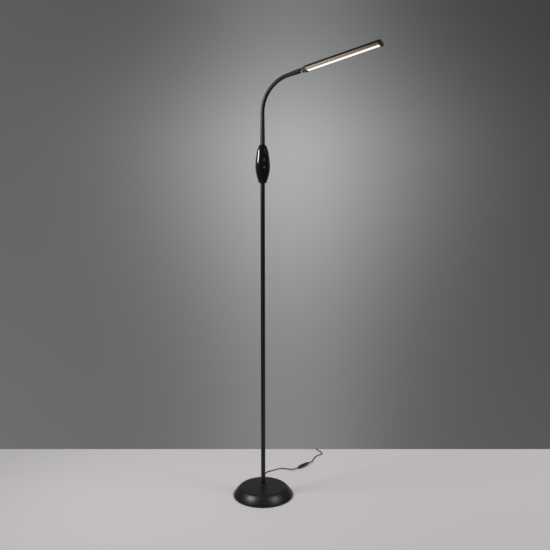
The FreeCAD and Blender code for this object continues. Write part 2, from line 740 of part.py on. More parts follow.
def neck_rod(radius, start, end):
    """Round rod of one radius along the neck, from one distance to another."""
    bend_end = NECK_RISE + bend_length
    pieces = []
    if start < NECK_RISE:
        pieces.append(on_neck(rod(radius, 0, min(end, NECK_RISE) - start), start))
    if end > NECK_RISE and start < bend_end:
        pieces.append(bent_rod(radius, max(start, NECK_RISE), min(end, bend_end)))
    if end > bend_end:
        first = max(start, bend_end)
        pieces.append(on_neck(rod(radius, 0, end - first), first))
    if len(pieces) == 1:
        return pieces[0]
    return pieces[0].fuse(pieces[1:]).removeSplitter()


def neck_outside():
    """The sleeve's whole outer form, solid."""
    foot = turned(((0, 0), (SLEEVE_FOOT_RADIUS, 0), (SLEEVE_FOOT_RADIUS, SLEEVE_FOOT_STRAIGHT),
                   (SLEEVE_RADIUS, NECK_RISE), (0, NECK_RISE)))
    end = turned(((0, 0), (SLEEVE_RADIUS, 0), (SLEEVE_END_RADIUS, NECK_RUN - SLEEVE_END_STRAIGHT),
                  (SLEEVE_END_RADIUS, NECK_RUN), (0, NECK_RUN)))
    bend = bent_rod(SLEEVE_RADIUS, NECK_RISE, NECK_RISE + bend_length)
    return on_neck(foot, 0).fuse([bend, on_neck(end, NECK_RISE + bend_length)])


def stretch_envelope(k):
    """Space of one stretch: hollow ball end below, round ball end above."""
    first = k == 0
    last = k == len(neck_joints)
    start = -HOSE_TAIL if first else neck_joints[k - 1]
    end = neck_length + HOSE_IN_HEAD + 1 if last else neck_joints[k]
    reach = 2 * SLEEVE_END_RADIUS
    ball_top = 0.0 if last else BALL_SHARE * sleeve_radius(end)
    space = neck_rod(reach, start, end + (0.0 if last else ball_top + 1.0))
    if not first:
        hollow = BALL_SHARE * sleeve_radius(start) + BALL_GAP
        space = space.cut(Part.makeSphere(hollow, neck_point(start)))
    if not last:
        above = on_neck(rod(2 * reach, 0, ball_top + 3.0), end)
        ball = Part.makeSphere(ball_top, neck_point(end))
        space = space.cut(above.cut(ball))
    return space


def neck_pieces():
    """Sleeve and hose stretches, from the housing to the head."""
    bore = neck_rod(sleeve_bore, -1, neck_length + 1)
    sleeve = neck_outside().cut(bore)
    hose = neck_rod(HOSE_RADIUS, -HOSE_TAIL, neck_length + HOSE_IN_HEAD)
    hose = hose.cut(neck_rod(HOSE_BORE, -HOSE_TAIL - 1, neck_length + HOSE_IN_HEAD + 1))
    stretches = []
    for k in range(len(neck_joints) + 1):
        space = stretch_envelope(k)
        stretches.append((sleeve.common(space), hose.common(space)))
    return stretches


# ---------------------------------------------------------------- lit head
half_width = HEAD_WIDTH / 2
half_thick = HEAD_THICKNESS / 2
panel_start = HEAD_ROOT
panel_end = HEAD_LENGTH - HEAD_TIP


def across(u):
    """Function that places a section's corners (sideways, up) at a distance along the head."""
    return lambda v, w: Vector(u, v, w)


def cap_solid(outline):
    """End cap from its plan outline, its upper edges rounded like the housing's."""
    face = Part.Face(Part.Wire(outline))
    face.translate(Vector(0, 0, -half_thick))
    solid = face.extrude(Vector(0, 0, HEAD_THICKNESS))
    flat = [panel_start, panel_end, HEAD_COLLAR]
    upper = []
    for edge in solid.Edges:
        box = edge.BoundBox
        on_seam = box.XLength < 1e-6 and min(abs(box.XMin - u) for u in flat) < 1e-6
        if box.ZMin > 0 and not on_seam and box.ZLength < 1e-6:
            upper.append(edge)
    return solid.makeFillet(min(HEAD_EDGE, half_thick * 0.9), upper)


def root_cap():
    """Near end cap, widening from the neck to the head, with a spigot into the housing."""
    start = HEAD_COLLAR
    sides = []
    for side in (1, -1):
        curve = Part.BezierCurve()
        reach = (panel_start - start) * 0.55
        curve.setPoles([Vector(start, side * HEAD_BOSS_RADIUS, 0),
                        Vector(start + reach * 0.9, side * HEAD_BOSS_RADIUS, 0),
                        Vector(panel_start - reach, side * half_width, 0),
                        Vector(panel_start, side * half_width, 0)])
        sides.append(curve.toShape())
    ends = [line(Vector(start, HEAD_BOSS_RADIUS, 0), Vector(start, -HEAD_BOSS_RADIUS, 0)),
            line(Vector(panel_start, half_width, 0), Vector(panel_start, -half_width, 0))]
    solid = cap_solid(Part.__sortEdges__(sides + ends))
    solid = solid.fuse(spigot(panel_start, panel_start + SPIGOT))
    bore = Part.makeCylinder(HOSE_RADIUS + FITTING_WALL + FIT, HEAD_ROOT - HEAD_COLLAR - 1,
                             Vector(HEAD_COLLAR - 1, 0, 0), Vector(1, 0, 0))
    return solid.cut(bore).cut(grub_screw(FIT))


def grub_screw(play=0.0):
    """Screw from below that holds the neck's fitting in the near cap."""
    top = -(HOSE_RADIUS + FITTING_WALL)
    place = (HEAD_COLLAR + HEAD_ROOT) / 2
    bottom = -half_thick if play else top - min(GRUB_LENGTH, half_thick + top - 0.1)
    return rod(SCREW_RADIUS + play, bottom - 2 * play, top + 2 * play, place)


def tip_cap():
    corner = HEAD_TIP_CORNER
    end = HEAD_LENGTH
    near = line(Vector(panel_end, -half_width, 0), Vector(panel_end, half_width, 0))
    far = line(Vector(end, -half_width + corner, 0), Vector(end, half_width - corner, 0))
    edges = [near, far]
    for side in (1, -1):
        centre = Vector(end - corner, side * (half_width - corner), 0)
        middle = centre + Vector(1, side, 0) * (corner / math.sqrt(2))
        start = Vector(end - corner, side * half_width, 0)
        edges.append(line(Vector(panel_end, side * half_width, 0), start))
        edges.append(arc(start, middle, Vector(end, side * (half_width - corner), 0)))
    solid = cap_solid(Part.__sortEdges__(edges))
    return solid.fuse(spigot(panel_end - SPIGOT, panel_end))


def spigot(start, end):
    """Tongue of an end cap inside the housing's hollow."""
    wide = half_width - HEAD_WALL - SLIP - 1.0
    top = half_thick - HEAD_WALL - BOARD_THICKNESS - SEAT
    return block((start, -wide, SEAT), (end, wide, top))


def head_section(inset, bottom):
    """Outline of the housing across the head, with rounded upper edges."""
    wide = half_width - inset
    top = half_thick - inset
    edge = max(HEAD_EDGE - inset, 0.5)
    corners = []
    for side in (1, -1):
        centre = Vector(0, side * (wide - edge), top - edge)
        middle = centre + Vector(0, side, 1) * (edge / math.sqrt(2))
        corners.append((Vector(0, side * wide, top - edge), middle,
                        Vector(0, side * (wide - edge), top)))
    (right, right_mid, right_top), (left, left_mid, left_top) = corners
    low_right = Vector(0, wide, bottom)
    low_left = Vector(0, -wide, bottom)
    return [line(low_left, low_right), line(low_right, right), arc(right, right_mid, right_top),
            line(right_top, left_top), arc(left_top, left_mid, left), line(left, low_left)]


def head_housing():
    """Extruded upper channel between the end caps."""
    length = Vector(panel_end - panel_start, 0, 0)
    outer = Part.Face(Part.Wire(head_section(0, 0))).extrude(length)
    inner = Part.Face(Part.Wire(head_section(HEAD_WALL, -1))).extrude(length)
    channel = outer.cut(inner)
    channel.translate(Vector(panel_start, 0, 0))
    return channel


def head_rails():
    """The two glossy side bands, each with the dark lip that carries the panel."""
    inner = PANEL_WIDTH / 2 + PANEL_LAP + SLIP
    lip = PANEL_WIDTH / 2
    corner = -half_thick + RAIL_LIP
    outline = ((inner, 0), (half_width, 0), (half_width - RAIL_LEAN, corner),
               (half_width - RAIL_LEAN - RAIL_LIP / 2, -half_thick), (lip, -half_thick),
               (lip, -half_thick + LIP_THICKNESS), (inner, -half_thick + LIP_THICKNESS))
    length = Vector(panel_end - panel_start, 0, 0)
    rails = []
    for side in (1, -1):
        corners = [(side * v, w) for v, w in outline]
        rails.append(prism(corners, across(panel_start), length))
    return rails


def diffuser():
    wide = PANEL_WIDTH / 2 + PANEL_LAP
    low = -half_thick + LIP_THICKNESS + 0.1
    return block((panel_start + 0.1, -wide, low), (panel_end - 0.1, wide, low + PANEL_THICKNESS))


def led_strip():
    top = half_thick - HEAD_WALL
    return block((panel_start + 2, -STRIP_WIDTH / 2, top - BOARD_THICKNESS),
                 (panel_end - 2, STRIP_WIDTH / 2, top))


def leds():
    long, wide, high = LED_SIZE
    top = half_thick - HEAD_WALL - BOARD_THICKNESS
    first = panel_start + SPIGOT + long
    last = panel_end - SPIGOT - long
    lights = []
    for k in range(LED_COUNT):
        u = first + (last - first) * k / (LED_COUNT - 1)
        lights.append(block((u - long / 2, -wide / 2, top - high), (u + long / 2, wide / 2, top)))
    return lights


def fitting_upper():
    """End fitting of the hose in the head, with the bright ring that shows."""
    inner = HOSE_RADIUS + FIT
    outer = HOSE_RADIUS + FITTING_WALL
    ring = HEAD_COLLAR_RADIUS
    part = turned(((inner, 0), (ring - 0.5, 0), (ring, 0.5), (ring, HEAD_COLLAR - 0.5),
                   (ring - 0.5, HEAD_COLLAR), (outer, HEAD_COLLAR), (outer, HOSE_IN_HEAD),
                   (inner, HOSE_IN_HEAD)))
    return on_neck(part, neck_length)


def in_head(shape):
    """From the head's own frame, +X to the tip and +Z up, to its place on the neck."""
    elevation = 90 - neck_tilt(neck_length)
    return placed(shape, neck_point(neck_length), Rotation(bend_axis, -elevation))


# ---------------------------------------------------------------- lead, coupling, adapter
def floor_point(right, away, height):
    """Floor point given to the right and away as seen from the front of the lamp."""
    turn = math.radians(FRONT_AZIMUTH)
    return Vector(right * math.cos(turn) - away * math.sin(turn),
                  right * math.sin(turn) + away * math.cos(turn), height)


def heading_vector(degrees):
    turn = math.radians(degrees)
    return floor_point(math.cos(turn), math.sin(turn), 0)


def rounded_path(name, points):
    """Straight runs joined by tangent arcs, each as large as its two runs allow."""
    edges = []
    radii = []
    here = points[0]
    for before, corner, after in zip(points, points[1:], points[2:]):
        into = corner - before
        out = after - corner
        shorter = min(into.Length, out.Length)
        into.normalize()
        out.normalize()
        turn = into.getAngle(out)
        trim = 0.45 * shorter
        radius = trim / math.tan(turn / 2)
        radii.append(radius)
        start = corner - into * trim
        end = corner + out * trim
        inward = out - into
        inward.normalize()
        middle = corner + inward * (radius / math.cos(turn / 2) - radius)
        edges.append(line(here, start))
        edges.append(arc(start, middle, end))
        here = end
    edges.append(line(here, points[-1]))
    wire = Part.Wire(edges)
    print("%s: length %.1f, smallest radius %.1f" % (name, wire.Length, min(radii)))
    print("   radii", " ".join("%.0f" % radius for radius in radii))
    return wire


def cord_tube(name, points):
    path = rounded_path(name, points)
    heading = points[1] - points[0]
    section = Part.Wire(Part.makeCircle(cord_radius, points[0], heading))
    solid = path.makePipeShell([section], True, False)
    expected = math.pi * cord_radius ** 2 * path.Length
    print("   volume over section times length %.4f" % (solid.Volume / expected))
    return solid


def along_heading(shape, place, degrees):
    """From +Z at the origin to a level heading at a place on the floor."""
    return placed(shape, place, Rotation(Vector(0, 0, 1), heading_vector(degrees)))


coupling_height = SOCKET_BODY[1]
coupling_start = floor_point(COUPLING_START[0], COUPLING_START[1], coupling_height)
coupling_vector = heading_vector(COUPLING_HEADING)
socket_length, socket_radius = SOCKET_BODY
plug_length, plug_radius = PLUG_BODY
barrel_length, barrel_radius = PLUG_BARREL
plug_start = coupling_start + coupling_vector * (socket_length + SEAT)
coupling_end = plug_start + coupling_vector * plug_length


def dc_socket():
    """Socket half of the coupling: short boot, round body and a bore for the barrel."""
    bore = barrel_radius + FIT
    deep = socket_length - barrel_length - 1
    body = turned(((0, 0), (cord_radius + 0.8, 0), (cord_radius + 1.6, 9), (socket_radius, 11),
                   (socket_radius, socket_length), (bore, socket_length), (bore, deep),
                   (0, deep)))
    return along_heading(body, coupling_start, COUPLING_HEADING)


def dc_plug():
    """Plug half: metal barrel inside the socket, gripped body and a tapered boot."""
    body = turned(((0, -barrel_length), (barrel_radius, -barrel_length), (barrel_radius, 0),
                   (plug_radius, 0), (plug_radius, 14), (plug_radius - 1.2, 17),
                   (cord_radius + 0.8, plug_length), (0, plug_length)))
    return along_heading(body, plug_start, COUPLING_HEADING)


def lamp_lead():
    """The lead from the grommet to the coupling's socket."""
    turn = math.radians(LEAD_AZIMUTH)
    start = Vector(math.cos(turn), math.sin(turn), 0) * (base_radius + GROMMET_BOOT)
    start.z = LEAD_HEIGHT
    last = coupling_start - coupling_vector * LEAD_STRAIGHTS[0]
    points = [start] + [floor_point(*point) for point in LAMP_LEAD_ROUTE]
    return cord_tube("lamp_lead", points + [last, coupling_start])


def adapter_lead():
    """The lead from the plug half to the first turn of the coil."""
    first = coupling_end + coupling_vector * LEAD_STRAIGHTS[1]
    first.z = coupling_end.z - 1
    route = [floor_point(*point) for point in ADAPTER_LEAD_ROUTE]
    right, away = COIL_CENTRE
    start = floor_point(right + coil_outer, away - COIL_LEAD_IN, coil_bottom)
    before = floor_point(right + coil_outer + 0.3, away - COIL_LEAD_IN - 15, coil_bottom - 0.3)
    return cord_tube("adapter_lead", [coupling_end, first] + route + [before, start])


coil_outer = COIL_MEAN_RADIUS + COIL_PITCH * (COIL_TURNS - 1) / 2
coil_bottom = TIE_THICKNESS + SLIP + TIE_PLAY / 2 + cord_radius
coil_top = coil_bottom + (COIL_LAYERS - 1) * COIL_PITCH


def coil_halves():
    """Half turns of the coil: centre offset, radius, first angle, first and last height."""
    halves = []
    radius = coil_outer
    offset = 0.0
    height = coil_bottom
    side = 1
    for layer in range(COIL_LAYERS):
        step = COIL_PITCH / 2 * (-1 if layer % 2 == 0 else 1)
        for k in range(2 * COIL_TURNS):
            climbs = k == 2 * COIL_TURNS - 1 and layer < COIL_LAYERS - 1
            rise = COIL_PITCH if climbs else 0.0
            halves.append((offset, radius, 0.0 if side > 0 else 180.0, height, height + rise))
            height += rise
            if not climbs:
                offset += side * step
                radius += step
            side = -side
    return halves


def half_turn_point(half, share):
    """Point of a half turn at a share of its length, in the coil's own frame."""
    offset, radius, first_angle, low, high = half
    turn = math.radians(first_angle + 180 * share)
    height = low if share < 1 else high
    return Vector(offset + radius * math.cos(turn), radius * math.sin(turn), height)


def tangent_arc(start, heading, end):
    """Arc from a start with a heading to an end, through the point half way along it."""
    chord = end - start
    turn = heading.getAngle(chord)
    sideways = heading * (chord.Length / math.cos(turn) / 2) - chord / 2
    bulge = chord.Length / 2 * math.tan(turn / 2)
    middle = start + chord / 2 + sideways.normalize() * bulge
    return arc(start, middle, end)


def climb(start, heading, end, final_heading):
    """Two tangent arcs that join two places and headings, which are square to each other."""
    reach = end - start
    along = reach.dot(heading + final_heading)
    arm = (math.sqrt(along ** 2 + 2 * reach.dot(reach)) - along) / 2
    joint = (start + end + (heading - final_heading) * arm) / 2
    first = tangent_arc(start, heading, joint)
    second = tangent_arc(end, -final_heading, joint)
    return [first, second]


def half_turn_edges(half):
    """A half turn: one arc, or a level quarter and a climbing one."""
    offset, radius, first_angle, low, high = half
    points = [half_turn_point(half, share) for share in (0, 0.25, 0.5, 1)]
    if high == low:
        return [arc(points[0], points[2], points[3])]
    centre = Vector(offset, 0, low)
    heading = Vector(0, 0, 1).cross(points[2] - centre).normalize()
    final_heading = heading.cross(Vector(0, 0, -1)).normalize()
    level = arc(points[0], points[1], points[2])
    return [level] + climb(points[2], heading, points[3], final_heading)


def least_gap(edges):
    """Smallest gap between one turn and another, measured on points."""
    samples = []
    for edge in edges:
        samples += edge.discretize(max(3, int(edge.Length / 3)))[:-1]
    skip = int(COIL_MEAN_RADIUS * 4 / 3)
    least = min((first - second).Length for i, first in enumerate(samples)
                for second in samples[i + skip:])
    return least - CORD_DIAMETER


def coil():
    """The rest of the lead, wound in layers that spiral in and out again."""
    halves = coil_halves()
    start = half_turn_point(halves[0], 0)
    end = half_turn_point(halves[-1], 1)
    edges = [line(start - Vector(0, COIL_LEAD_IN, 0), start)]
    for half in halves:
        edges += half_turn_edges(half)
    edges.append(line(end, end + Vector(0, COIL_LEAD_OUT, 0)))
    path = Part.Wire(Part.__sortEdges__(edges))
    section = Part.Wire(Part.makeCircle(cord_radius, start - Vector(0, COIL_LEAD_IN, 0),
                                        Vector(0, 1, 0)))
    solid = path.makePipeShell([section], True, False)
    expected = math.pi * cord_radius ** 2 * path.Length
    print("coil: length %.1f, least gap %.2f, volume over section times length %.4f"
          % (path.Length, least_gap(edges), solid.Volume / expected))
    return by_the_coil(solid)


def by_the_coil(shape):
    """From the coil's own frame to its place on the floor."""
    return placed(shape, floor_point(COIL_CENTRE[0], COIL_CENTRE[1], 0),
                  Rotation(Vector(0, 0, 1), FRONT_AZIMUTH))


def coil_tie():
    """Strap round the bundle of turns, on the side away from the coil's ends."""
    out = -coil_outer - cord_radius - TIE_PLAY
    within = -coil_outer + (COIL_TURNS - 1) * COIL_PITCH + cord_radius + TIE_PLAY
    low = coil_bottom - cord_radius - TIE_PLAY / 2
    high = coil_top + cord_radius + TIE_PLAY / 2
    thick = TIE_THICKNESS
    strap = block((out - thick, -TIE_WIDTH / 2, low - thick),
                  (within + thick, TIE_WIDTH / 2, high + thick))
    corners = [edge for edge in strap.Edges if edge.BoundBox.YLength > TIE_WIDTH - 0.1]
    strap = strap.makeFillet(thick * 1.5, corners)
    hollow = block((out, -TIE_WIDTH, low), (within, TIE_WIDTH, high))
    corners = [edge for edge in hollow.Edges if edge.BoundBox.YLength > TIE_WIDTH]
    return by_the_coil(strap.cut(hollow.makeFillet(thick * 0.6, corners)))


def adapter_place(shape):
    """From the adapter's own frame, cord end at the origin, to the coil's last turn."""
    end = half_turn_point(coil_halves()[-1], 1)
    start = Vector(end.x, end.y + COIL_LEAD_OUT, 0)
    return by_the_coil(placed(shape, start, Rotation(Vector(0, 0, 1), 90)))


def power_adapter():
    """Plug-in adapter, pins along +X, lying on the floor on its back."""
    long, wide, high = ADAPTER_SIZE
    boot_length, boot_radius = ADAPTER_BOOT
    body = block((boot_length, -wide / 2, 0), (boot_length + long, wide / 2, high))
    edges = [edge for edge in body.Edges if edge.BoundBox.XLength > long - 1]
    body = body.makeFillet(min(ADAPTER_EDGE, high / 3), edges)
    boot = turned(((0, 0), (cord_radius + 0.7, 0), (boot_radius, boot_length),
                   (boot_radius, boot_length + 2), (0, boot_length + 2)))
    boot.rotate(Vector(0, 0, 0), Vector(0, 1, 0), 90)
    boot.translate(Vector(0, 0, coil_top))
    return adapter_place(body.fuse(boot))


def adapter_pins():
    start = ADAPTER_BOOT[0] + ADAPTER_SIZE[0]
    pins = []
    for side in (-1, 1):
        pin = turned(((0, 0), (PIN_RADIUS, 0), (PIN_RADIUS, PIN_LENGTH - 1),
                      (PIN_RADIUS - 0.8, PIN_LENGTH), (0, PIN_LENGTH)))
        pin.rotate(Vector(0, 0, 0), Vector(0, 1, 0), 90)
        pin.translate(Vector(start, side * PIN_SPACING / 2, ADAPTER_SIZE[2] / 2))
        pins.append(adapter_place(pin))
    return pins


# ---------------------------------------------------------------- build
def build_base():
    export("base_shell", base_shell())
    export("base_weight", base_weight())
    export("base_plate", base_plate())
    export("base_pad", rod(plate_radius - PAD_INSET, 0, PAD_THICKNESS))
    export("pole_bolt", tube(THREAD_RADIUS, CABLE_BORE, bolt_bottom,
                             pole_bottom + INSERT_LENGTH - 2))
    export("pole_nut", flanged_nut())
    export("foot_collar", foot_collar())
    export("cable_grommet", grommet())
    export("inner_cable", inner_cable())


def build_pole():
    for k, name in enumerate(("pole_lower", "pole_middle", "pole_upper")):
        export(name, pole_section(k))
    export("pole_inserts", *[pole_insert(k) for k in range(POLE_SECTIONS)])
    export("pole_studs", *[pole_stud(k) for k in range(POLE_SECTIONS)])


def build_housing():
    export("control_front", in_housing(front_shell()))
    export("control_rear", in_housing(rear_shell()))
    for name, place in zip(("button_lower", "button_upper"), button_places()):
        cap = button()
        cap.translate(place)
        export(name, in_housing(cap))
    export("control_board", in_housing(control_board()))
    export("board_parts", *[in_housing(part) for part in board_parts()])
    export("pole_socket", in_housing(pole_socket()))
    export("neck_fitting_lower", in_housing(fitting_lower()))
    screws = base_screws() + [in_housing(screw) for screw in housing_screws()]
    export("case_screws", *screws)


def build_neck():
    for k, (sleeve, hose) in enumerate(neck_pieces()):
        export("neck_sleeve_%02d" % (k + 1), sleeve)
        export("neck_hose_%02d" % (k + 1), hose)


def build_head():
    export("neck_fitting_upper", fitting_upper())
    export("head_root_cap", in_head(root_cap()))
    export("head_housing", in_head(head_housing()))
    export("head_rails", *[in_head(rail) for rail in head_rails()])
    export("head_panel", in_head(diffuser()))
    export("led_strip", in_head(led_strip()))
    export("leds", *[in_head(light) for light in leds()])
    export("head_tip_cap", in_head(tip_cap()))
    export("head_grub_screw", in_head(grub_screw()))


def build_lead():
    export("lamp_lead", lamp_lead())
    export("dc_socket", dc_socket())
    export("dc_plug", dc_plug())
    export("adapter_lead", adapter_lead())
    export("adapter_coil", coil())
    export("coil_tie", coil_tie())
    export("power_adapter", power_adapter())
    export("adapter_pins", *adapter_pins())


build_base()
build_pole()
build_housing()
build_neck()
build_head()
build_lead()
print("neck joints, distance along the neck:")
for joint in neck_joints:
    place = neck_point(joint)
    print("   %.2f at (%.3f, %.3f, %.3f)" % (joint, place.x, place.y, place.z))
print("neck end", neck_point(neck_length), "length %.1f" % neck_length)
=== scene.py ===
"""Looks of the gooseneck reading floor lamp, in metres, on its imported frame.

The origin is on the floor at the middle of the round base, +Z is up, and the neck and the lit
head bend out along +X.
"""
from __future__ import annotations

import json
import logging
import math
from dataclasses import dataclass
from enum import Enum
from typing import Any, Iterable, Sequence, Union

import bmesh
import bpy
from mathutils import Matrix, Vector

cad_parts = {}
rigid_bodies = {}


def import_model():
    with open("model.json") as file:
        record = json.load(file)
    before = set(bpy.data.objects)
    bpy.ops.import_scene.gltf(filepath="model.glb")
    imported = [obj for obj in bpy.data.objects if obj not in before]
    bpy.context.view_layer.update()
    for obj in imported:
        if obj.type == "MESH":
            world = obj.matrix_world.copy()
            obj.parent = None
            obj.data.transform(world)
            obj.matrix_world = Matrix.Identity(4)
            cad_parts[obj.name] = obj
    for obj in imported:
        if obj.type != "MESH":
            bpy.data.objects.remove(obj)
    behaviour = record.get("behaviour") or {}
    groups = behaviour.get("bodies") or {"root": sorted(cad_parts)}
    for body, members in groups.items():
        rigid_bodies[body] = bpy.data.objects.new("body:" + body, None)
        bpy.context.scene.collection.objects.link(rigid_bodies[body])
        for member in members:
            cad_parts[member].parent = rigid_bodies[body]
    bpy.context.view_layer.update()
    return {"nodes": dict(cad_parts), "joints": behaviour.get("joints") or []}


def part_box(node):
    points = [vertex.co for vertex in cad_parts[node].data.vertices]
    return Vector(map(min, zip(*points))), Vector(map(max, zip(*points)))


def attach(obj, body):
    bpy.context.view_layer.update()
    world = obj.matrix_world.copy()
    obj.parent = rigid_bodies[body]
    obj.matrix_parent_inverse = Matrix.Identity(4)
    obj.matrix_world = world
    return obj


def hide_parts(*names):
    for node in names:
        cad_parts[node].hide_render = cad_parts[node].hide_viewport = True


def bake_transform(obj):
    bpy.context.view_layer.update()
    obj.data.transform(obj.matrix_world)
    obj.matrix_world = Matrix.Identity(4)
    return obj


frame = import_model()

MM = 0.001
FRONT_AZIMUTH = math.radians(20)      # the side of the lamp that the photograph shows
HOUSING_TURN = math.radians(40)       # from -Y to where the buttons face
LEAD_AZIMUTH = math.radians(110)      # the side of the base where the lead leaves
CORD_DIAMETER = 0.0035
AXIS_RADIUS = 0.00002                 # what a turned ring keeps where it meets its axis
ONCE_ROUND = 36.0                     # what the unrolled measure counts once round a piece
UP = Vector((0, 0, 1))
DARK = (0.0, 0.0, 0.0)
STAND = "stand"

log = logging.getLogger("lamp")
Colour = tuple[float, float, float]


def seen(right: float, away: float, height: float) -> Vector:
    """Give a point right of the pole and away behind it, as seen from the lamp's front."""
    return Matrix.Rotation(FRONT_AZIMUTH, 4, "Z") @ Vector((right, away, height))


def compass(turn: float) -> Vector:
    """Give the level direction at an angle from +X."""
    return Vector((math.cos(turn), math.sin(turn), 0))


# ---------------------------------------------------------------- materials
class Link:
    """An output of a node, which can feed a socket of another node."""

    def __init__(self, graph: Graph, socket: bpy.types.NodeSocket) -> None:
        """Keep the graph and the output."""
        self.graph = graph
        self.socket = socket


class Value(Link):
    """A number that varies over a surface; arithmetic on it adds Math nodes."""

    def math(self, operation: str, *terms: Union[float, Value]) -> Value:
        """Add one Math node, which works on the terms in their order."""
        node = self.graph.add("ShaderNodeMath", {"operation": operation}, dict(enumerate(terms)))
        return node[0]

    def __add__(self, other: Union[float, Value]) -> Value:
        """Add."""
        return self.math("ADD", self, other)

    def __radd__(self, other: Union[float, Value]) -> Value:
        """Add, with the plain number first."""
        return self.math("ADD", other, self)

    def __sub__(self, other: Union[float, Value]) -> Value:
        """Subtract."""
        return self.math("SUBTRACT", self, other)

    def __rsub__(self, other: Union[float, Value]) -> Value:
        """Subtract from a plain number."""
        return self.math("SUBTRACT", other, self)

    def __mul__(self, other: Union[float, Value]) -> Value:
        """Multiply."""
        return self.math("MULTIPLY", self, other)

    def __rmul__(self, other: Union[float, Value]) -> Value:
        """Multiply, with the plain number first."""
        return self.math("MULTIPLY", other, self)

    def __truediv__(self, other: Union[float, Value]) -> Value:
        """Divide."""
        return self.math("DIVIDE", self, other)

    def __pow__(self, power: float) -> Value:
        """Raise to a power."""
        return self.math("POWER", self, power)

    def __abs__(self) -> Value:
        """Drop the sign."""
        return self.math("ABSOLUTE", self)

    def exponential(self) -> Value:
        """Take the exponential."""
        return self.math("EXPONENT", self)

    def wave(self, length: float) -> Value:
        """Turn a distance into a wave from 0 to 1 that repeats after a length."""
        return self.math("SINE", self * (2 * math.pi / length)) * 0.5 + 0.5

    def least(self, other: Union[float, Value]) -> Value:
        """Take the smaller number."""
        return self.math("MINIMUM", self, other)

    def most(self, other: Union[float, Value]) -> Value:
        """Take the larger number."""
        return self.math("MAXIMUM", self, other)

    def rises(self, start: float, end: float) -> Value:
        """Go smoothly from 0 to 1 between two values.

        Args:
            start: Where the result is still 0.
            end: Where the result is 1.

        Returns:
            The mask.
        """
        settings = {"interpolation_type": "SMOOTHSTEP"}
        sockets = {"Value": self, "From Min": start, "From Max": end}
        return self.graph.add("ShaderNodeMapRange", settings, sockets)[0]


class Added:
    """A node that was added to a graph."""

    def __init__(self, graph: Graph, node: bpy.types.Node) -> None:
        """Keep the graph and the node."""
        self.graph = graph
        self.node = node

    def __getitem__(self, key: Union[int, str]) -> Link:
        """Give an output by its name or number.

        Args:
            key: The output's name or number.

        Returns:
            A value where the output is a number, or else a link.
        """
        socket = self.node.outputs[key]
        kind = Value if socket.type == "VALUE" else Link
        return kind(self.graph, socket)


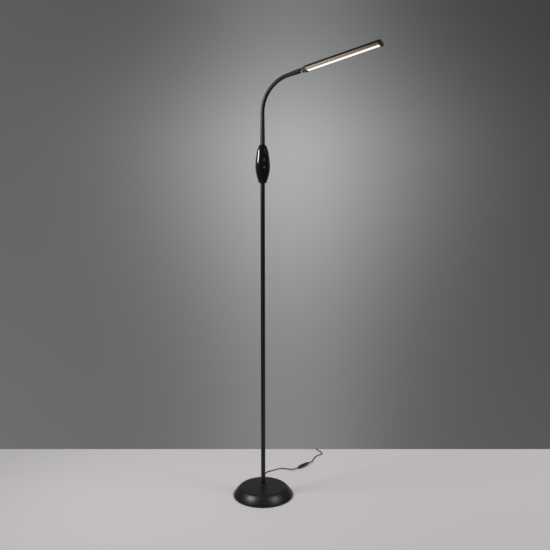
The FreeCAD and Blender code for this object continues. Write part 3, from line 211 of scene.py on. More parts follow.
class Graph:
    """The nodes of one material, or of the world."""

    def __init__(self, owner: Union[bpy.types.Material, bpy.types.World]) -> None:
        """Empty the owner's nodes.

        Args:
            owner: The material or the world.
        """
        owner.use_nodes = True
        self.owner = owner
        self.tree = owner.node_tree
        self.tree.nodes.clear()

    def add(self, kind: str, settings: dict[str, Any] | None = None,
            sockets: dict[Union[int, str], Any] | None = None) -> Added:
        """Add any node.

        Args:
            kind: The node's type.
            settings: The node's own settings, which are set first.
            sockets: A number, a colour or a link for each input, by its name or number.

        Returns:
            The node.
        """
        node = self.tree.nodes.new(kind)
        for name, setting in (settings or {}).items():
            setattr(node, name, setting)
        for key, given in (sockets or {}).items():
            socket = node.inputs[key]
            if isinstance(given, Link):
                self.tree.links.new(given.socket, socket)
            elif socket.type == "RGBA":
                socket.default_value = (*given[:3], 1.0)
            else:
                socket.default_value = given
        return Added(self, node)

    def place(self) -> Link:
        """Give the place on the piece, in millimetres.

        Returns:
            A link to it.
        """
        coordinates = self.add("ShaderNodeTexCoord")["Object"]
        scale = {0: coordinates, "Scale": 1 / MM}
        return self.add("ShaderNodeVectorMath", {"operation": "SCALE"}, scale)["Vector"]

    def unrolled(self) -> tuple[Value, Value]:
        """Give the distances along and around a wound or swept piece, in millimetres.

        Returns:
            The measure along the piece and the one round it.
        """
        coordinates = self.add("ShaderNodeTexCoord")["UV"]
        parts = self.add("ShaderNodeSeparateXYZ", None, {0: coordinates})
        return parts["X"], parts["Y"]

    def along(self, direction: Vector, origin: Vector = Vector()) -> Value:
        """Measure along a direction.

        Args:
            direction: The direction.
            origin: The point to measure from, in metres.

        Returns:
            The distance, in millimetres.
        """
        unit = direction.normalized()
        sockets = {0: self.place(), 1: tuple(unit)}
        dot = self.add("ShaderNodeVectorMath", {"operation": "DOT_PRODUCT"}, sockets)["Value"]
        return dot - unit.dot(origin) / MM

    def noise(self, size: float, detail: float = 2.0, stretch: Colour = (1.0, 1.0, 1.0)) -> Value:
        """Add soft noise.

        Args:
            size: Size of a patch, in millimetres.
            detail: How many finer layers it has.
            stretch: How much longer the patches are along X, Y and Z.

        Returns:
            A number from 0 to 1.
        """
        shrink = tuple(1 / share for share in stretch)
        sockets = {0: self.place(), 1: shrink}
        vector = self.add("ShaderNodeVectorMath", {"operation": "MULTIPLY"}, sockets)["Vector"]
        sockets = {"Vector": vector, "Scale": 1 / size, "Detail": detail}
        return self.add("ShaderNodeTexNoise", None, sockets)[0]

    def cells(self, size: float) -> Value:
        """Add cells of a size in millimetres, 0 at each middle and rising outwards."""
        sockets = {"Vector": self.place(), "Scale": 1 / size}
        return self.add("ShaderNodeTexVoronoi", None, sockets)["Distance"]

    def blend(self, mask: Value, first: Any, second: Any) -> Link:
        """Mix two colours or links, the first where the mask is 0 and the second where it is 1."""
        node = self.add("ShaderNodeMix", {"data_type": "RGBA"}, {0: mask, 6: first, 7: second})
        return node[2]

    def bump(self, height: Value, depth: float, under: Link | None = None) -> Link:
        """Raise the surface.

        Args:
            height: The height, from 0 to 1.
            depth: What a height of 1 is, in millimetres.
            under: Another bump that this one lies on.

        Returns:
            The normal.
        """
        sockets = {"Distance": depth * MM, "Height": height}
        if under is not None:
            sockets["Normal"] = under
        return self.add("ShaderNodeBump", None, sockets)["Normal"]

    def surface(self, sockets: dict[str, Any]) -> None:
        """Finish the material with a shader, from a number, a colour or a link for each input."""
        shader = self.add("ShaderNodeBsdfPrincipled", None, sockets)["BSDF"]
        self.add("ShaderNodeOutputMaterial", None, {"Surface": shader})


@dataclass(frozen=True)
class Finish:
    """A finish that pieces share.

    Attributes:
        name: The material's name.
        colour: Its main colour, linear.
        roughness: Its mean roughness.
    """

    name: str
    colour: Colour
    roughness: float

    def material(self) -> bpy.types.Material:
        """Give the material, which is made once.

        Returns:
            The material.
        """
        if self not in MADE:
            graph = Graph(bpy.data.materials.new(self.name))
            self.paint(graph)
            MADE[self] = graph.owner
        return MADE[self]

    def paint(self, graph: Graph) -> None:
        """Add the finish's nodes."""
        raise NotImplementedError

    def shade(self, share: float) -> Colour:
        """Give the colour times a share."""
        return tuple(channel * share for channel in self.colour)

    def mottled(self, graph: Graph, size: float, amount: float) -> Link:
        """Give the colour with lighter and darker patches."""
        mask = graph.noise(size, 3.0).rises(0.3, 0.7)
        return graph.blend(mask, self.shade(1 - amount), self.shade(1 + amount))


MADE: dict[Finish, bpy.types.Material] = {}


@dataclass(frozen=True)
class PowderCoat(Finish):
    """Satin powder coat with a fine orange peel.

    Attributes:
        peel: Size of the orange peel, in millimetres.
        depth: Its depth, in millimetres.
    """

    peel: float = 0.9
    depth: float = 0.012

    def paint(self, graph: Graph) -> None:
        """Add soft patches of gloss over the orange peel.

        Args:
            graph: The graph of the material.
        """
        peel = graph.noise(self.peel, 2.0)
        fine = graph.noise(self.peel / 5, 1.0)
        patches = graph.noise(70.0, 2.0)
        graph.surface({
            "Base Color": self.mottled(graph, 30.0, 0.10),
            "Roughness": self.roughness + 0.10 * (patches - 0.5) + 0.06 * (fine - 0.5),
            "Specular IOR Level": 0.3,
            "Normal": graph.bump(peel + 0.25 * fine, self.depth),
        })


@dataclass(frozen=True)
class GlossShell(Finish):
    """Polished moulded plastic with a faint ripple and fine wiping marks."""

    def paint(self, graph: Graph) -> None:
        """Add the ripple of the mould and the marks.

        Args:
            graph: The graph of the material.
        """
        ripple = graph.noise(9.0, 1.0)
        marks = graph.noise(0.5, 3.0, (1.0, 1.0, 14.0)).rises(0.56, 0.72)
        graph.surface({
            "Base Color": self.mottled(graph, 40.0, 0.08),
            "Roughness": self.roughness + 0.10 * marks + 0.05 * (graph.noise(22.0) - 0.5),
            "Specular IOR Level": 0.4,
            "Coat Weight": 0.25 - 0.15 * marks,
            "Coat Roughness": 0.06,
            "Normal": graph.bump(ripple, 0.02),
        })


@dataclass(frozen=True)
class MouldedPlastic(Finish):
    """Moulded plastic with a spark-eroded grain.

    Attributes:
        grain: Size of the grain, in millimetres.
        depth: Its depth, in millimetres.
    """

    grain: float = 0.35
    depth: float = 0.02

    def paint(self, graph: Graph) -> None:
        """Add the grain and its glints.

        Args:
            graph: The graph of the material.
        """
        pits = graph.cells(self.grain)
        haze = graph.noise(12.0)
        graph.surface({
            "Base Color": self.mottled(graph, 8.0, 0.12),
            "Roughness": self.roughness + 0.10 * (haze - 0.5) + 0.10 * (pits - 0.4),
            "Normal": graph.bump(pits, self.depth),
        })


class Sign(Enum):
    """The plain mark on a button."""

    RING = "ring"
    DOT = "dot"


@dataclass(frozen=True)
class ButtonCap(Finish):
    """Satin button face with a plain printed mark.

    Attributes:
        sign: The mark.
        middle: The middle of the button's face, as a tuple in metres.
        reach: The mark's radius, in millimetres.
        line: The width of its line, in millimetres.
        blur: The width of its soft edges, in millimetres.
        ink: Its colour.
    """

    sign: Sign = Sign.RING
    middle: Colour = DARK
    reach: float = 2.1
    line: float = 0.5
    blur: float = 0.12
    ink: Colour = (0.2, 0.2, 0.2)

    def paint(self, graph: Graph) -> None:
        """Print the mark on the satin face.

        Args:
            graph: The graph of the material.
        """
        middle = Vector(self.middle)
        aside = graph.along(compass(HOUSING_TURN), middle)
        above = graph.along(UP, middle)
        radius = (aside * aside + above * above) ** 0.5
        outside = radius.rises(self.reach, self.reach + self.blur)
        hole = self.reach - self.line
        inside = 1 - radius.rises(hole - self.blur, hole) if self.sign is Sign.RING else 0.0
        mark = 1 - outside.most(inside)
        grain = graph.noise(0.3, 2.0)
        graph.surface({
            "Base Color": graph.blend(mark * 0.85, self.colour, self.ink),
            "Roughness": self.roughness + 0.10 * (grain - 0.5) + 0.1 * mark,
            "Normal": graph.bump(grain + 0.4 * mark, 0.02),
        })


@dataclass(frozen=True)
class SoftSleeve(Finish):
    """Matt silicone sleeve, through which the windings of the hose show faintly.

    Attributes:
        winding: Distance from one winding to the next, in millimetres.
    """

    winding: float = 2.6

    def paint(self, graph: Graph) -> None:
        """Add the faint windings, lint and finger marks.

        Args:
            graph: The graph of the material.
        """
        distance, around = graph.unrolled()
        windings = (distance + around * (self.winding / ONCE_ROUND)).wave(self.winding)
        lint = graph.noise(0.25, 3.0).rises(0.66, 0.76)
        rubbed = graph.noise(14.0, 2.0).rises(0.35, 0.75)
        graph.surface({
            "Base Color": graph.blend(0.35 * lint + 0.2 * rubbed, self.colour, self.shade(2.4)),
            "Roughness": self.roughness - 0.12 * rubbed + 0.08 * lint,
            "Specular IOR Level": 0.4,
            "Normal": graph.bump(windings + 0.25 * graph.noise(0.4), 0.05),
        })


@dataclass(frozen=True)
class HeadPaint(Finish):
    """Satin paint on drawn metal, with the metal's fine grain along the head."""

    def paint(self, graph: Graph) -> None:
        """Add the drawn grain and the paint's fine texture.

        Args:
            graph: The graph of the material.
        """
        across = graph.along(Vector((0, 1, 0)))
        grain = graph.noise(0.6, 3.0, (40.0, 1.0, 40.0))
        fine = graph.noise(0.18, 1.0)
        streaks = (across + 0.8 * graph.noise(30.0)).wave(1.7)
        graph.surface({
            "Base Color": self.mottled(graph, 18.0, 0.10),
            "Roughness": self.roughness + 0.10 * (grain - 0.5) + 0.03 * streaks,
            "Specular IOR Level": 0.3,
            "Normal": graph.bump(grain + 0.5 * fine, 0.008),
        })


@dataclass(frozen=True)
class SideBand(Finish):
    """Glossy smoked band over a matt dark lip, with a fine groove between them.

    The band's colour is partly a painted reflection, which fades along the head.

    Attributes:
        lip: Colour of the lip.
        seat: Middle of the head's near end, as a tuple in metres.
        up: The direction square to the head, as a tuple.
        out: The direction along the head, as a tuple.
        edge: Where the band gives way to the lip, in millimetres over the head's middle.
        far_reflection_share: How much of the band's painted reflection is left at the far end.
        length: The length over which the painted reflection fades, in millimetres.
        matt: Roughness of the lip.
    """

    lip: Colour = (0.01, 0.01, 0.01)
    seat: Colour = DARK
    up: Colour = (0.0, 0.0, 1.0)
    out: Colour = (1.0, 0.0, 0.0)
    edge: float = -5.3
    far_reflection_share: float = 0.35
    length: float = 245.0
    matt: float = 0.45

    def paint(self, graph: Graph) -> None:
        """Paint the band, the groove and the lip by their heights, and dim the band's painted
        reflection along the head.

        Args:
            graph: The graph of the material.
        """
        height = graph.along(Vector(self.up), Vector(self.seat))
        distance = graph.along(Vector(self.out), Vector(self.seat))
        band = height.rises(self.edge - 0.15, self.edge + 0.15)
        groove = 1 - abs(height - self.edge).rises(0.0, 0.35)
        # painted reflection: the band's colour dims from the near end towards the far end
        painted_reflection_fade = distance.rises(self.length * 0.35, self.length * 1.1)
        band_colour_painted_reflection = graph.blend(painted_reflection_fade, self.colour, self.shade(self.far_reflection_share))
        grain = graph.noise(0.5, 2.0, (60.0, 1.0, 60.0))
        graph.surface({
            "Base Color": graph.blend(band, self.lip, band_colour_painted_reflection),
            "Metallic": 0.35 * band,
            "Roughness": self.matt - (self.matt - self.roughness) * band + 0.06 * (grain - 0.5),
            "Coat Weight": 0.3 * band,
            "Coat Roughness": 0.2,
            "Normal": graph.bump(0.05 * grain - groove, 0.12),
        })


@dataclass(frozen=True)
class LitPanel(Finish):
    """Opal panel lit from behind, a little weaker along its edges.

    Attributes:
        rim: The light's colour along the edges.
        half_width: Half the lit width, in millimetres.
        spacing: Distance between the lights behind it, in millimetres.
        strength: Strength of the light.
        unlit: The panel's own colour in the middle.
        unlit_rim: Its own colour along the edges.
    """

    rim: Colour = (0.86, 0.77, 0.64)
    half_width: float = 14.5
    spacing: float = 12.0
    strength: float = 0.95
    unlit: Colour = (0.16, 0.158, 0.15)
    unlit_rim: Colour = (0.15, 0.145, 0.135)

    def paint(self, graph: Graph) -> None:
        """Light the panel, with a faint beat of the lights behind it.

        Args:
            graph: The graph of the material.
        """
        across = abs(graph.along(Vector((0, 1, 0))))
        edge = across.rises(self.half_width * 0.72, self.half_width)
        beat = graph.along(Vector((1, 0, 0))).wave(self.spacing)
        middle = 1 - across.rises(0.0, self.half_width * 0.8)
        weaker = edge * 0.5 + 0.12 * (1 - beat) * middle
        prisms = graph.noise(0.4, 1.0)
        graph.surface({
            "Base Color": graph.blend(edge, self.unlit, self.unlit_rim),
            "Roughness": self.roughness + 0.05 * (prisms - 0.5),
            "Emission Color": graph.blend(weaker, self.colour, self.rim),
            "Emission Strength": self.strength,
            "Normal": graph.bump(prisms, 0.01),
        })


@dataclass(frozen=True)
class TurnedMetal(Finish):
    """Turned or plated metal with fine tool lines round its axis.

    Attributes:
        axis: The axis that it was turned about, as a tuple.
        pitch: Distance between the tool lines, in millimetres.
        cut: Their depth, in millimetres.
    """

    axis: Colour = (0.0, 0.0, 1.0)
    pitch: float = 0.22
    cut: float = 0.004

    def paint(self, graph: Graph) -> None:
        """Add tool lines, stains and small scratches.

        Args:
            graph: The graph of the material.
        """
        height = graph.along(Vector(self.axis))
        lines = (height + 0.06 * graph.noise(3.0)).wave(self.pitch)
        scratches = graph.noise(0.3, 3.0, (6.0, 1.0, 1.0)).rises(0.62, 0.75)
        stains = graph.noise(6.0, 3.0)
        graph.surface({
            "Base Color": self.mottled(graph, 5.0, 0.08),
            "Metallic": 1.0,
            "Roughness": self.roughness + 0.12 * (stains - 0.5) + 0.15 * scratches,
            "Normal": graph.bump(lines, self.cut),
        })


@dataclass(frozen=True)
class CastMetal(Finish):
    """Rough casting with sand pits and rusty shadows.

    Attributes:
        rusty: Colour of the rust.
    """

    rusty: Colour = (0.12, 0.055, 0.03)

    def paint(self, graph: Graph) -> None:
        """Add the sand grain, pits and stains.

        Args:
            graph: The graph of the material.
        """
        sand = graph.noise(0.8, 4.0)
        pits = 1 - graph.cells(4.5).rises(0.05, 0.35)
        rust = graph.noise(14.0, 4.0).rises(0.55, 0.75)
        graph.surface({
            "Base Color": graph.blend(rust * 0.6, self.mottled(graph, 3.0, 0.2), self.rusty),
            "Metallic": 0.7 - 0.6 * rust,
            "Roughness": self.roughness + 0.2 * (sand - 0.5),
            "Normal": graph.bump(sand - 0.6 * pits, 0.25),
        })


@dataclass(frozen=True)
class FoamPad(Finish):
    """Soft closed-cell sheet."""

    def paint(self, graph: Graph) -> None:
        """Add the cells and pressed patches.

        Args:
            graph: The graph of the material.
        """
        cells = graph.cells(0.7)
        pressed = graph.noise(20.0, 2.0)
        graph.surface({
            "Base Color": graph.blend(cells.rises(0.2, 0.8), self.colour, self.shade(1.8)),
            "Roughness": self.roughness - 0.1 * pressed,
            "Normal": graph.bump(1 - cells, 0.12),
        })


@dataclass(frozen=True)
class Sheath(Finish):
    """Drawn plastic sheath of a lead, with faint lines from the die and scuffs."""

    def paint(self, graph: Graph) -> None:
        """Add the scuffs and the slightly uneven surface.

        Args:
            graph: The graph of the material.
        """
        scuffs = graph.noise(1.6, 4.0).rises(0.58, 0.74)
        uneven = graph.noise(3.0, 2.0)
        graph.surface({
            "Base Color": graph.blend(0.5 * scuffs, self.colour, self.shade(2.6)),
            "Roughness": self.roughness + 0.16 * scuffs + 0.08 * (uneven - 0.5),
            "Normal": graph.bump(uneven + 0.2 * graph.noise(0.3), 0.03),
        })


@dataclass(frozen=True)
class WovenStrap(Finish):
    """Woven strap with hook-and-loop pile.

    Attributes:
        yarn: Width of a yarn, in millimetres.
    """

    yarn: float = 0.45

    def paint(self, graph: Graph) -> None:
        """Weave the strap along and across it.

        Args:
            graph: The graph of the material.
        """
        distance, across = graph.unrolled()
        weave = distance.wave(self.yarn * 2) * across.wave(self.yarn * 2)
        pile = graph.noise(0.2, 3.0)
        graph.surface({
            "Base Color": graph.blend(weave * pile, self.colour, self.shade(3.0)),
            "Roughness": self.roughness + 0.1 * (pile - 0.5),
            "Sheen Weight": 0.4,
            "Normal": graph.bump(weave + 0.6 * pile, 0.12),
        })


@dataclass(frozen=True)
class CircuitBoard(Finish):
    """Lacquered circuit board with faint tracks."""

    def paint(self, graph: Graph) -> None:
        """Add the tracks under the lacquer.

        Args:
            graph: The graph of the material.
        """
        rows = graph.along(UP).wave(2.4).rises(0.72, 0.8)
        gates = graph.noise(5.0, 0.0).rises(0.48, 0.52)
        tracks = rows * gates
        graph.surface({
            "Base Color": graph.blend(0.5 * tracks, self.colour, self.shade(0.6)),
            "Roughness": self.roughness + 0.1 * (graph.noise(1.5) - 0.5),
            "Normal": graph.bump(tracks, 0.05),
        })


@dataclass(frozen=True)
class LitChip(Finish):
    """Yellow phosphor of a small light, lit.

    Attributes:
        glint: Colour of its brightest grains.
    """

    glint: Colour = (1.0, 0.9, 0.7)

    def paint(self, graph: Graph) -> None:
        """Light the phosphor.

        Args:
            graph: The graph of the material.
        """
        grain = graph.noise(0.3, 2.0)
        graph.surface({
            "Base Color": self.mottled(graph, 0.5, 0.1),
            "Roughness": self.roughness + 0.1 * (grain - 0.5),
            "Emission Color": graph.blend(grain, self.colour, self.glint),
            "Emission Strength": 1.0,
            "Normal": graph.bump(grain, 0.01),
        })


@dataclass(frozen=True)
class WoundHose(Finish):
    """Wound steel strip of the gooseneck.

    Attributes:
        foot: Height of the neck's foot, in metres.
        rise: The straight part, in metres.
        radius: Radius of the bend, in metres.
        winding: Width of the strip, in millimetres.
    """

    foot: float = 1.16
    rise: float = 0.1
    radius: float = 0.115
    winding: float = 2.6

    def paint(self, graph: Graph) -> None:
        """Wind the strip round the neck's curve, with painted shade in the grooves between
        windings.

        Args:
            graph: The graph of the material.
        """
        centre = Vector((self.radius, 0, self.foot + self.rise))
        above = graph.along(UP, centre)
        inward = graph.along(Vector((-1, 0, 0)), centre)
        turned = above.math("ARCTAN2", above.most(0.0), inward) * (self.radius / MM)
        groove = (above.least(0.0) + turned).wave(self.winding).rises(0.05, 0.5)
        graph.surface({
            # painted shade: the steel is darker in the grooves between windings
            "Base Color": graph.blend(groove, self.shade(0.35), self.mottled(graph, 4.0, 0.1)),
            "Metallic": 1.0,
            "Roughness": self.roughness + 0.1 * (graph.noise(1.0) - 0.5),
            "Normal": graph.bump(groove, 0.3),
        })


@dataclass(frozen=True)
class PlatedPins(Finish):
    """Nickel-plated pins, sleeved in black plastic near the adapter.

    Attributes:
        root: Where the pins start, as a tuple in metres.
        out: The direction in which they point, as a tuple.
        sleeved: Length of the plastic sleeve, in millimetres.
        sleeve: Colour of the sleeve.
        matt: Its roughness.
    """

    root: Colour = DARK
    out: Colour = (1.0, 0.0, 0.0)
    sleeved: float = 10.0
    sleeve: Colour = (0.015, 0.015, 0.015)
    matt: float = 0.45

    def paint(self, graph: Graph) -> None:
        """Paint the sleeve and the plated ends.

        Args:
            graph: The graph of the material.
        """
        distance = graph.along(Vector(self.out), Vector(self.root))
        plated = distance.rises(self.sleeved, self.sleeved + 0.2)
        wear = graph.noise(0.4, 3.0, (1.0, 8.0, 1.0))
        graph.surface({
            "Base Color": graph.blend(plated, self.sleeve, self.colour),
            "Metallic": plated,
            "Roughness": self.matt - (self.matt - self.roughness) * plated + 0.12 * (wear - 0.5),
            "Normal": graph.bump(wear - 3.0 * plated, 0.02),
        })


@dataclass(frozen=True)
class PaleFloor(Finish):
    """Plain pale studio floor, graded against the light that stands nearer on one side.

    Attributes:
        level: The share of the colour at the lamp.
        slopes: How the share rises to the right and away, per metre.
        limits: The least and the most that it is.
    """

    level: float = 0.93
    slopes: tuple[float, float] = (0.18, 0.15)
    limits: tuple[float, float] = (0.75, 1.2)

    def paint(self, graph: Graph) -> None:
        """Grade the colour over a barely uneven surface.

        Args:
            graph: The graph of the material.
        """
        right = graph.along(seen(1, 0, 0)) * (self.slopes[0] * MM)
        away = graph.along(seen(0, 1, 0)) * (self.slopes[1] * MM)
        share = (right + away + self.level).most(self.limits[0]).least(self.limits[1])
        graph.surface({
            "Base Color": graph.blend(share / 2, DARK, self.shade(2)),
            "Roughness": self.roughness + 0.04 * (graph.noise(90.0) - 0.5),
            "Specular IOR Level": 0.3,
        })


@dataclass(frozen=True)
class Backdrop(Finish):
    """Grey backdrop with a soft glow behind the lamp, which only shows from the front.

    Attributes:
        level: Its light away from the glow.
        slope: How its light falls to the right and upwards, per metre.
        middle: The middle of the glow, right of the pole and over the floor, in metres.
        glow: Light of the glow and of the upright band through it.
        widths: Half widths of the glow and of the band, in metres.
        heights: How far the glow reaches up and down, in metres.
        softness: Power by which the glow fades.
    """

    level: float = 0.127
    slope: tuple[float, float] = (0.027, 0.027)
    middle: tuple[float, float] = (0.104, 1.167)
    glow: tuple[float, float] = (0.236, 0.0915)
    widths: tuple[float, float] = (0.351, 0.259)
    heights: tuple[float, float] = (0.2275, 0.3855)
    softness: float = 1.8

    def paint(self, graph: Graph) -> None:
        """Add the glow to the grey, seen by the camera from the front.

        Args:
            graph: The graph of the material.
        """
        aside = graph.along(seen(1, 0, 0)) * MM
        above = graph.along(UP) * MM
        beside = abs(aside - self.middle[0])
        over = (above - self.middle[1]).most(0.0) / self.heights[0]
        under = (self.middle[1] - above).most(0.0) / self.heights[1]
        fall = (beside / self.widths[0]) ** self.softness + (over + under) ** self.softness
        light = self.level - self.slope[0] * aside - self.slope[1] * above
        light = light + self.glow[0] * self.fading(fall)
        light = light + self.glow[1] * self.fading((beside / self.widths[1]) ** 2.0)
        grey = graph.blend(light, DARK, self.colour)
        emission = graph.add("ShaderNodeEmission", None, {"Color": grey})["Emission"]
        clear = graph.add("ShaderNodeBsdfTransparent")["BSDF"]
        rays = graph.add("ShaderNodeLightPath")
        mirrored = rays["Is Glossy Ray"].most(rays["Is Transmission Ray"])
        back = graph.add("ShaderNodeNewGeometry")["Backfacing"]
        shown = rays["Is Camera Ray"].most(mirrored) * (1 - back)
        mixed = graph.add("ShaderNodeMixShader", None, {0: shown, 1: clear, 2: emission})
        graph.add("ShaderNodeOutputMaterial", None, {"Surface": mixed["Shader"]})

    def fading(self, reach: Value) -> Value:
        """Turn a squared reach into a bell-shaped share."""
        return (reach * -0.5).exponential()


POWDER_BLACK = PowderCoat("powder_black", (0.0085, 0.0072, 0.0075), 0.36)
GLOSS_BLACK = GlossShell("gloss_black", (0.006, 0.006, 0.0065), 0.13)
HEAD_BLACK = HeadPaint("head_paint", (0.015, 0.0095, 0.0075), 0.36)
END_BLACK = HeadPaint("head_end_paint", (0.007, 0.0045, 0.004), 0.48)
SLEEVE_BLACK = SoftSleeve("sleeve_silicone", (0.006, 0.0058, 0.006), 0.58)
CORD_BLACK = Sheath("cord_sheath", (0.013, 0.013, 0.0135), 0.42)
RUBBER_BLACK = MouldedPlastic("bush_rubber", (0.014, 0.014, 0.014), 0.55, 0.5, 0.015)
COUPLING_BLACK = MouldedPlastic("coupling_moulding", (0.013, 0.013, 0.0135), 0.42)
ADAPTER_BLACK = MouldedPlastic("adapter_moulding", (0.016, 0.016, 0.0165), 0.5, 0.45, 0.03)
PARTS_BLACK = MouldedPlastic("parts_moulding", (0.03, 0.03, 0.03), 0.45)
CAST_GREY = CastMetal("cast_ballast_skin", (0.1, 0.1, 0.1), 0.65)
ZINC = TurnedMetal("zinc_plate", (0.6, 0.6, 0.58), 0.34)
BRASS = TurnedMetal("brass_turning", (0.72, 0.52, 0.26), 0.28)
FOAM = FoamPad("foam_sheet", (0.012, 0.012, 0.012), 0.9)
STRAP = WovenStrap("tie_weave", (0.012, 0.012, 0.013), 0.85)
BOARD_WHITE = CircuitBoard("board_lacquer", (0.72, 0.72, 0.7), 0.3)
CHIP = LitChip("lit_chip", (0.95, 0.72, 0.3), 0.4)


# ---------------------------------------------------------------- making and placing pieces
def dress(finish: Finish, *nodes: str) -> None:
    """Give nodes of the frame a finish.

    Args:
        finish: The finish.
        nodes: Names of the nodes.
    """
    for node in nodes:
        materials = frame["nodes"][node].data.materials
        materials.clear()
        materials.append(finish.material())
        log.info("dressed %s in %s", node, finish.name)


def present(piece: bpy.types.Object, finish: Finish, replaced: Iterable[str] = (),
            body: str | None = STAND) -> bpy.types.Object:
    """Finish a piece and let it ride on a body.

    Args:
        piece: The piece, in place.
        finish: Its finish.
        replaced: Nodes of the frame that it stands for.
        body: The body that it rides on, or None to leave it on no body.

    Returns:
        The piece.
    """
    piece.data.materials.append(finish.material())
    if body is not None:
        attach(piece, body)
    if replaced:
        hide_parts(*replaced)
    log.info("made %s in %s", piece.name, finish.name)
    return piece


def facing(point: Vector, direction: Vector) -> Matrix:
    """Give the place of a turned piece at a point, with +Z along a direction."""
    return Matrix.Translation(point) @ direction.to_track_quat("Z", "Y").to_matrix().to_4x4()


def linked(name: str, data: bpy.types.ID) -> bpy.types.Object:
    """Make an object and put it in the scene.

    Args:
        name: The object's name.
        data: Its mesh, curve, camera or light.

    Returns:
        The object.
    """
    made = bpy.data.objects.new(name, data)
    bpy.context.scene.collection.objects.link(made)
    return made


def ring(place: Matrix, radius: float, height: float, sides: int) -> list[Vector]:
    """Give a ring of so many points about the axis of a place, at a height along it."""
    turns = [2 * math.pi * k / sides for k in range(sides)]
    return [place @ Vector((radius * math.cos(t), radius * math.sin(t), height)) for t in turns]


def skin(name: str, rings: Sequence[Sequence[Vector]], distances: Sequence[float] | None = None,
         closed: bool = True, loop: bool = False, crease: float = 40.0) -> bpy.types.Object:
    """Join rings of points into one smooth piece.

    Args:
        name: The piece's name.
        rings: The rings, each with as many points.
        distances: Each ring's distance along the piece, in metres.
        closed: Whether flat ends close it.
        loop: Whether the last ring joins the first.
        crease: The angle past which an edge stays sharp, in degrees.

    Returns:
        The piece.
    """
    shape = bmesh.new()
    rows = [[shape.verts.new(point) for point in points] for points in rings]
    unrolled = shape.loops.layers.uv.new("unrolled")
    sides = len(rings[0])
    lengths = [k * MM for k in range(len(rings) + 1)] if distances is None else list(distances)
    pairs = list(zip(rows, rows[1:], lengths, lengths[1:]))
    if loop:
        pairs.append((rows[-1], rows[0], lengths[len(rows) - 1], lengths[-1]))
    for low, high, start, end in pairs:
        for k in range(sides):
            after = (k + 1) % sides
            face = shape.faces.new((low[k], low[after], high[after], high[k]))
            arounds = (k, k + 1, k + 1, k)
            for corner, along, around in zip(face.loops, (start, start, end, end), arounds):
                corner[unrolled].uv = (along / MM, around * ONCE_ROUND / sides)
    if closed and not loop:
        shape.faces.new(list(reversed(rows[0])))
        shape.faces.new(rows[-1])
    bmesh.ops.recalc_face_normals(shape, faces=shape.faces)
    mesh = bpy.data.meshes.new(name)
    shape.to_mesh(mesh)
    shape.free()
    mesh.shade_smooth()
    mesh.set_sharp_from_angle(angle=math.radians(crease))
    return linked(name, mesh)


def lathe(name: str, outline: Sequence[tuple[float, float]], place: Matrix,
          sides: int = 48) -> bpy.types.Object:
    """Turn an outline about an axis."""
    wide = [(max(radius, AXIS_RADIUS), height) for radius, height in outline]
    return skin(name, [ring(place, radius, height, sides) for radius, height in wide])


def carve(piece: bpy.types.Object, cutter: bpy.types.Object) -> None:
    """Cut one piece out of another, and remove the cutter.

    Args:
        piece: The piece that stays.
        cutter: The piece that is cut out of it.
    """
    cut = piece.modifiers.new("recess", "BOOLEAN")
    cut.object = cutter
    cut.operation = "DIFFERENCE"
    cut.solver = "EXACT"
    graph = bpy.context.evaluated_depsgraph_get()
    mesh = bpy.data.meshes.new_from_object(piece.evaluated_get(graph))
    piece.modifiers.clear()
    piece.data = mesh
    bpy.data.objects.remove(cutter)


def several(name: str, piece: bpy.types.Object, places: Iterable[Matrix]) -> bpy.types.Object:
    """Repeat a piece at several places as one object.

    Args:
        name: The new object's name.
        piece: The piece, which is removed.
        places: Where its copies go.

    Returns:
        The new object.
    """
    shape = bmesh.new()
    for place in places:
        copy = piece.data.copy()
        copy.transform(place)
        shape.from_mesh(copy)
        bpy.data.meshes.remove(copy)
    mesh = bpy.data.meshes.new(name)
    shape.to_mesh(mesh)
    shape.free()
    bpy.data.objects.remove(piece)
    return linked(name, mesh)


# ---------------------------------------------------------------- camera, stage and light
@dataclass(frozen=True)
class Softbox:
    """Square light that faces the lamp.

    Attributes:
        name: Its name.
        azimuth: Where it stands, in degrees to the right of the camera's side.
        away: How far it stands from the pole, on the floor.
        height: Its height.
        side: Its width and its height.
        power: Its power, in watts.
    """

    name: str
    azimuth: float
    away: float
    height: float
    side: float
    power: float

    def build(self) -> None:
        """Put it up, aimed at the pole at a third of its own height."""
        turn = math.radians(self.azimuth)
        place = seen(self.away * math.sin(turn), -self.away * math.cos(turn), self.height)
        aim = Vector((0, 0, self.height / 3))
        data = bpy.data.lights.new(self.name, "AREA")
        data.shape = "RECTANGLE"
        data.size = data.size_y = self.side
        data.energy = self.power
        light = linked(self.name, data)
        light.location = place
        light.rotation_euler = (aim - place).to_track_quat("-Z", "Y").to_euler()


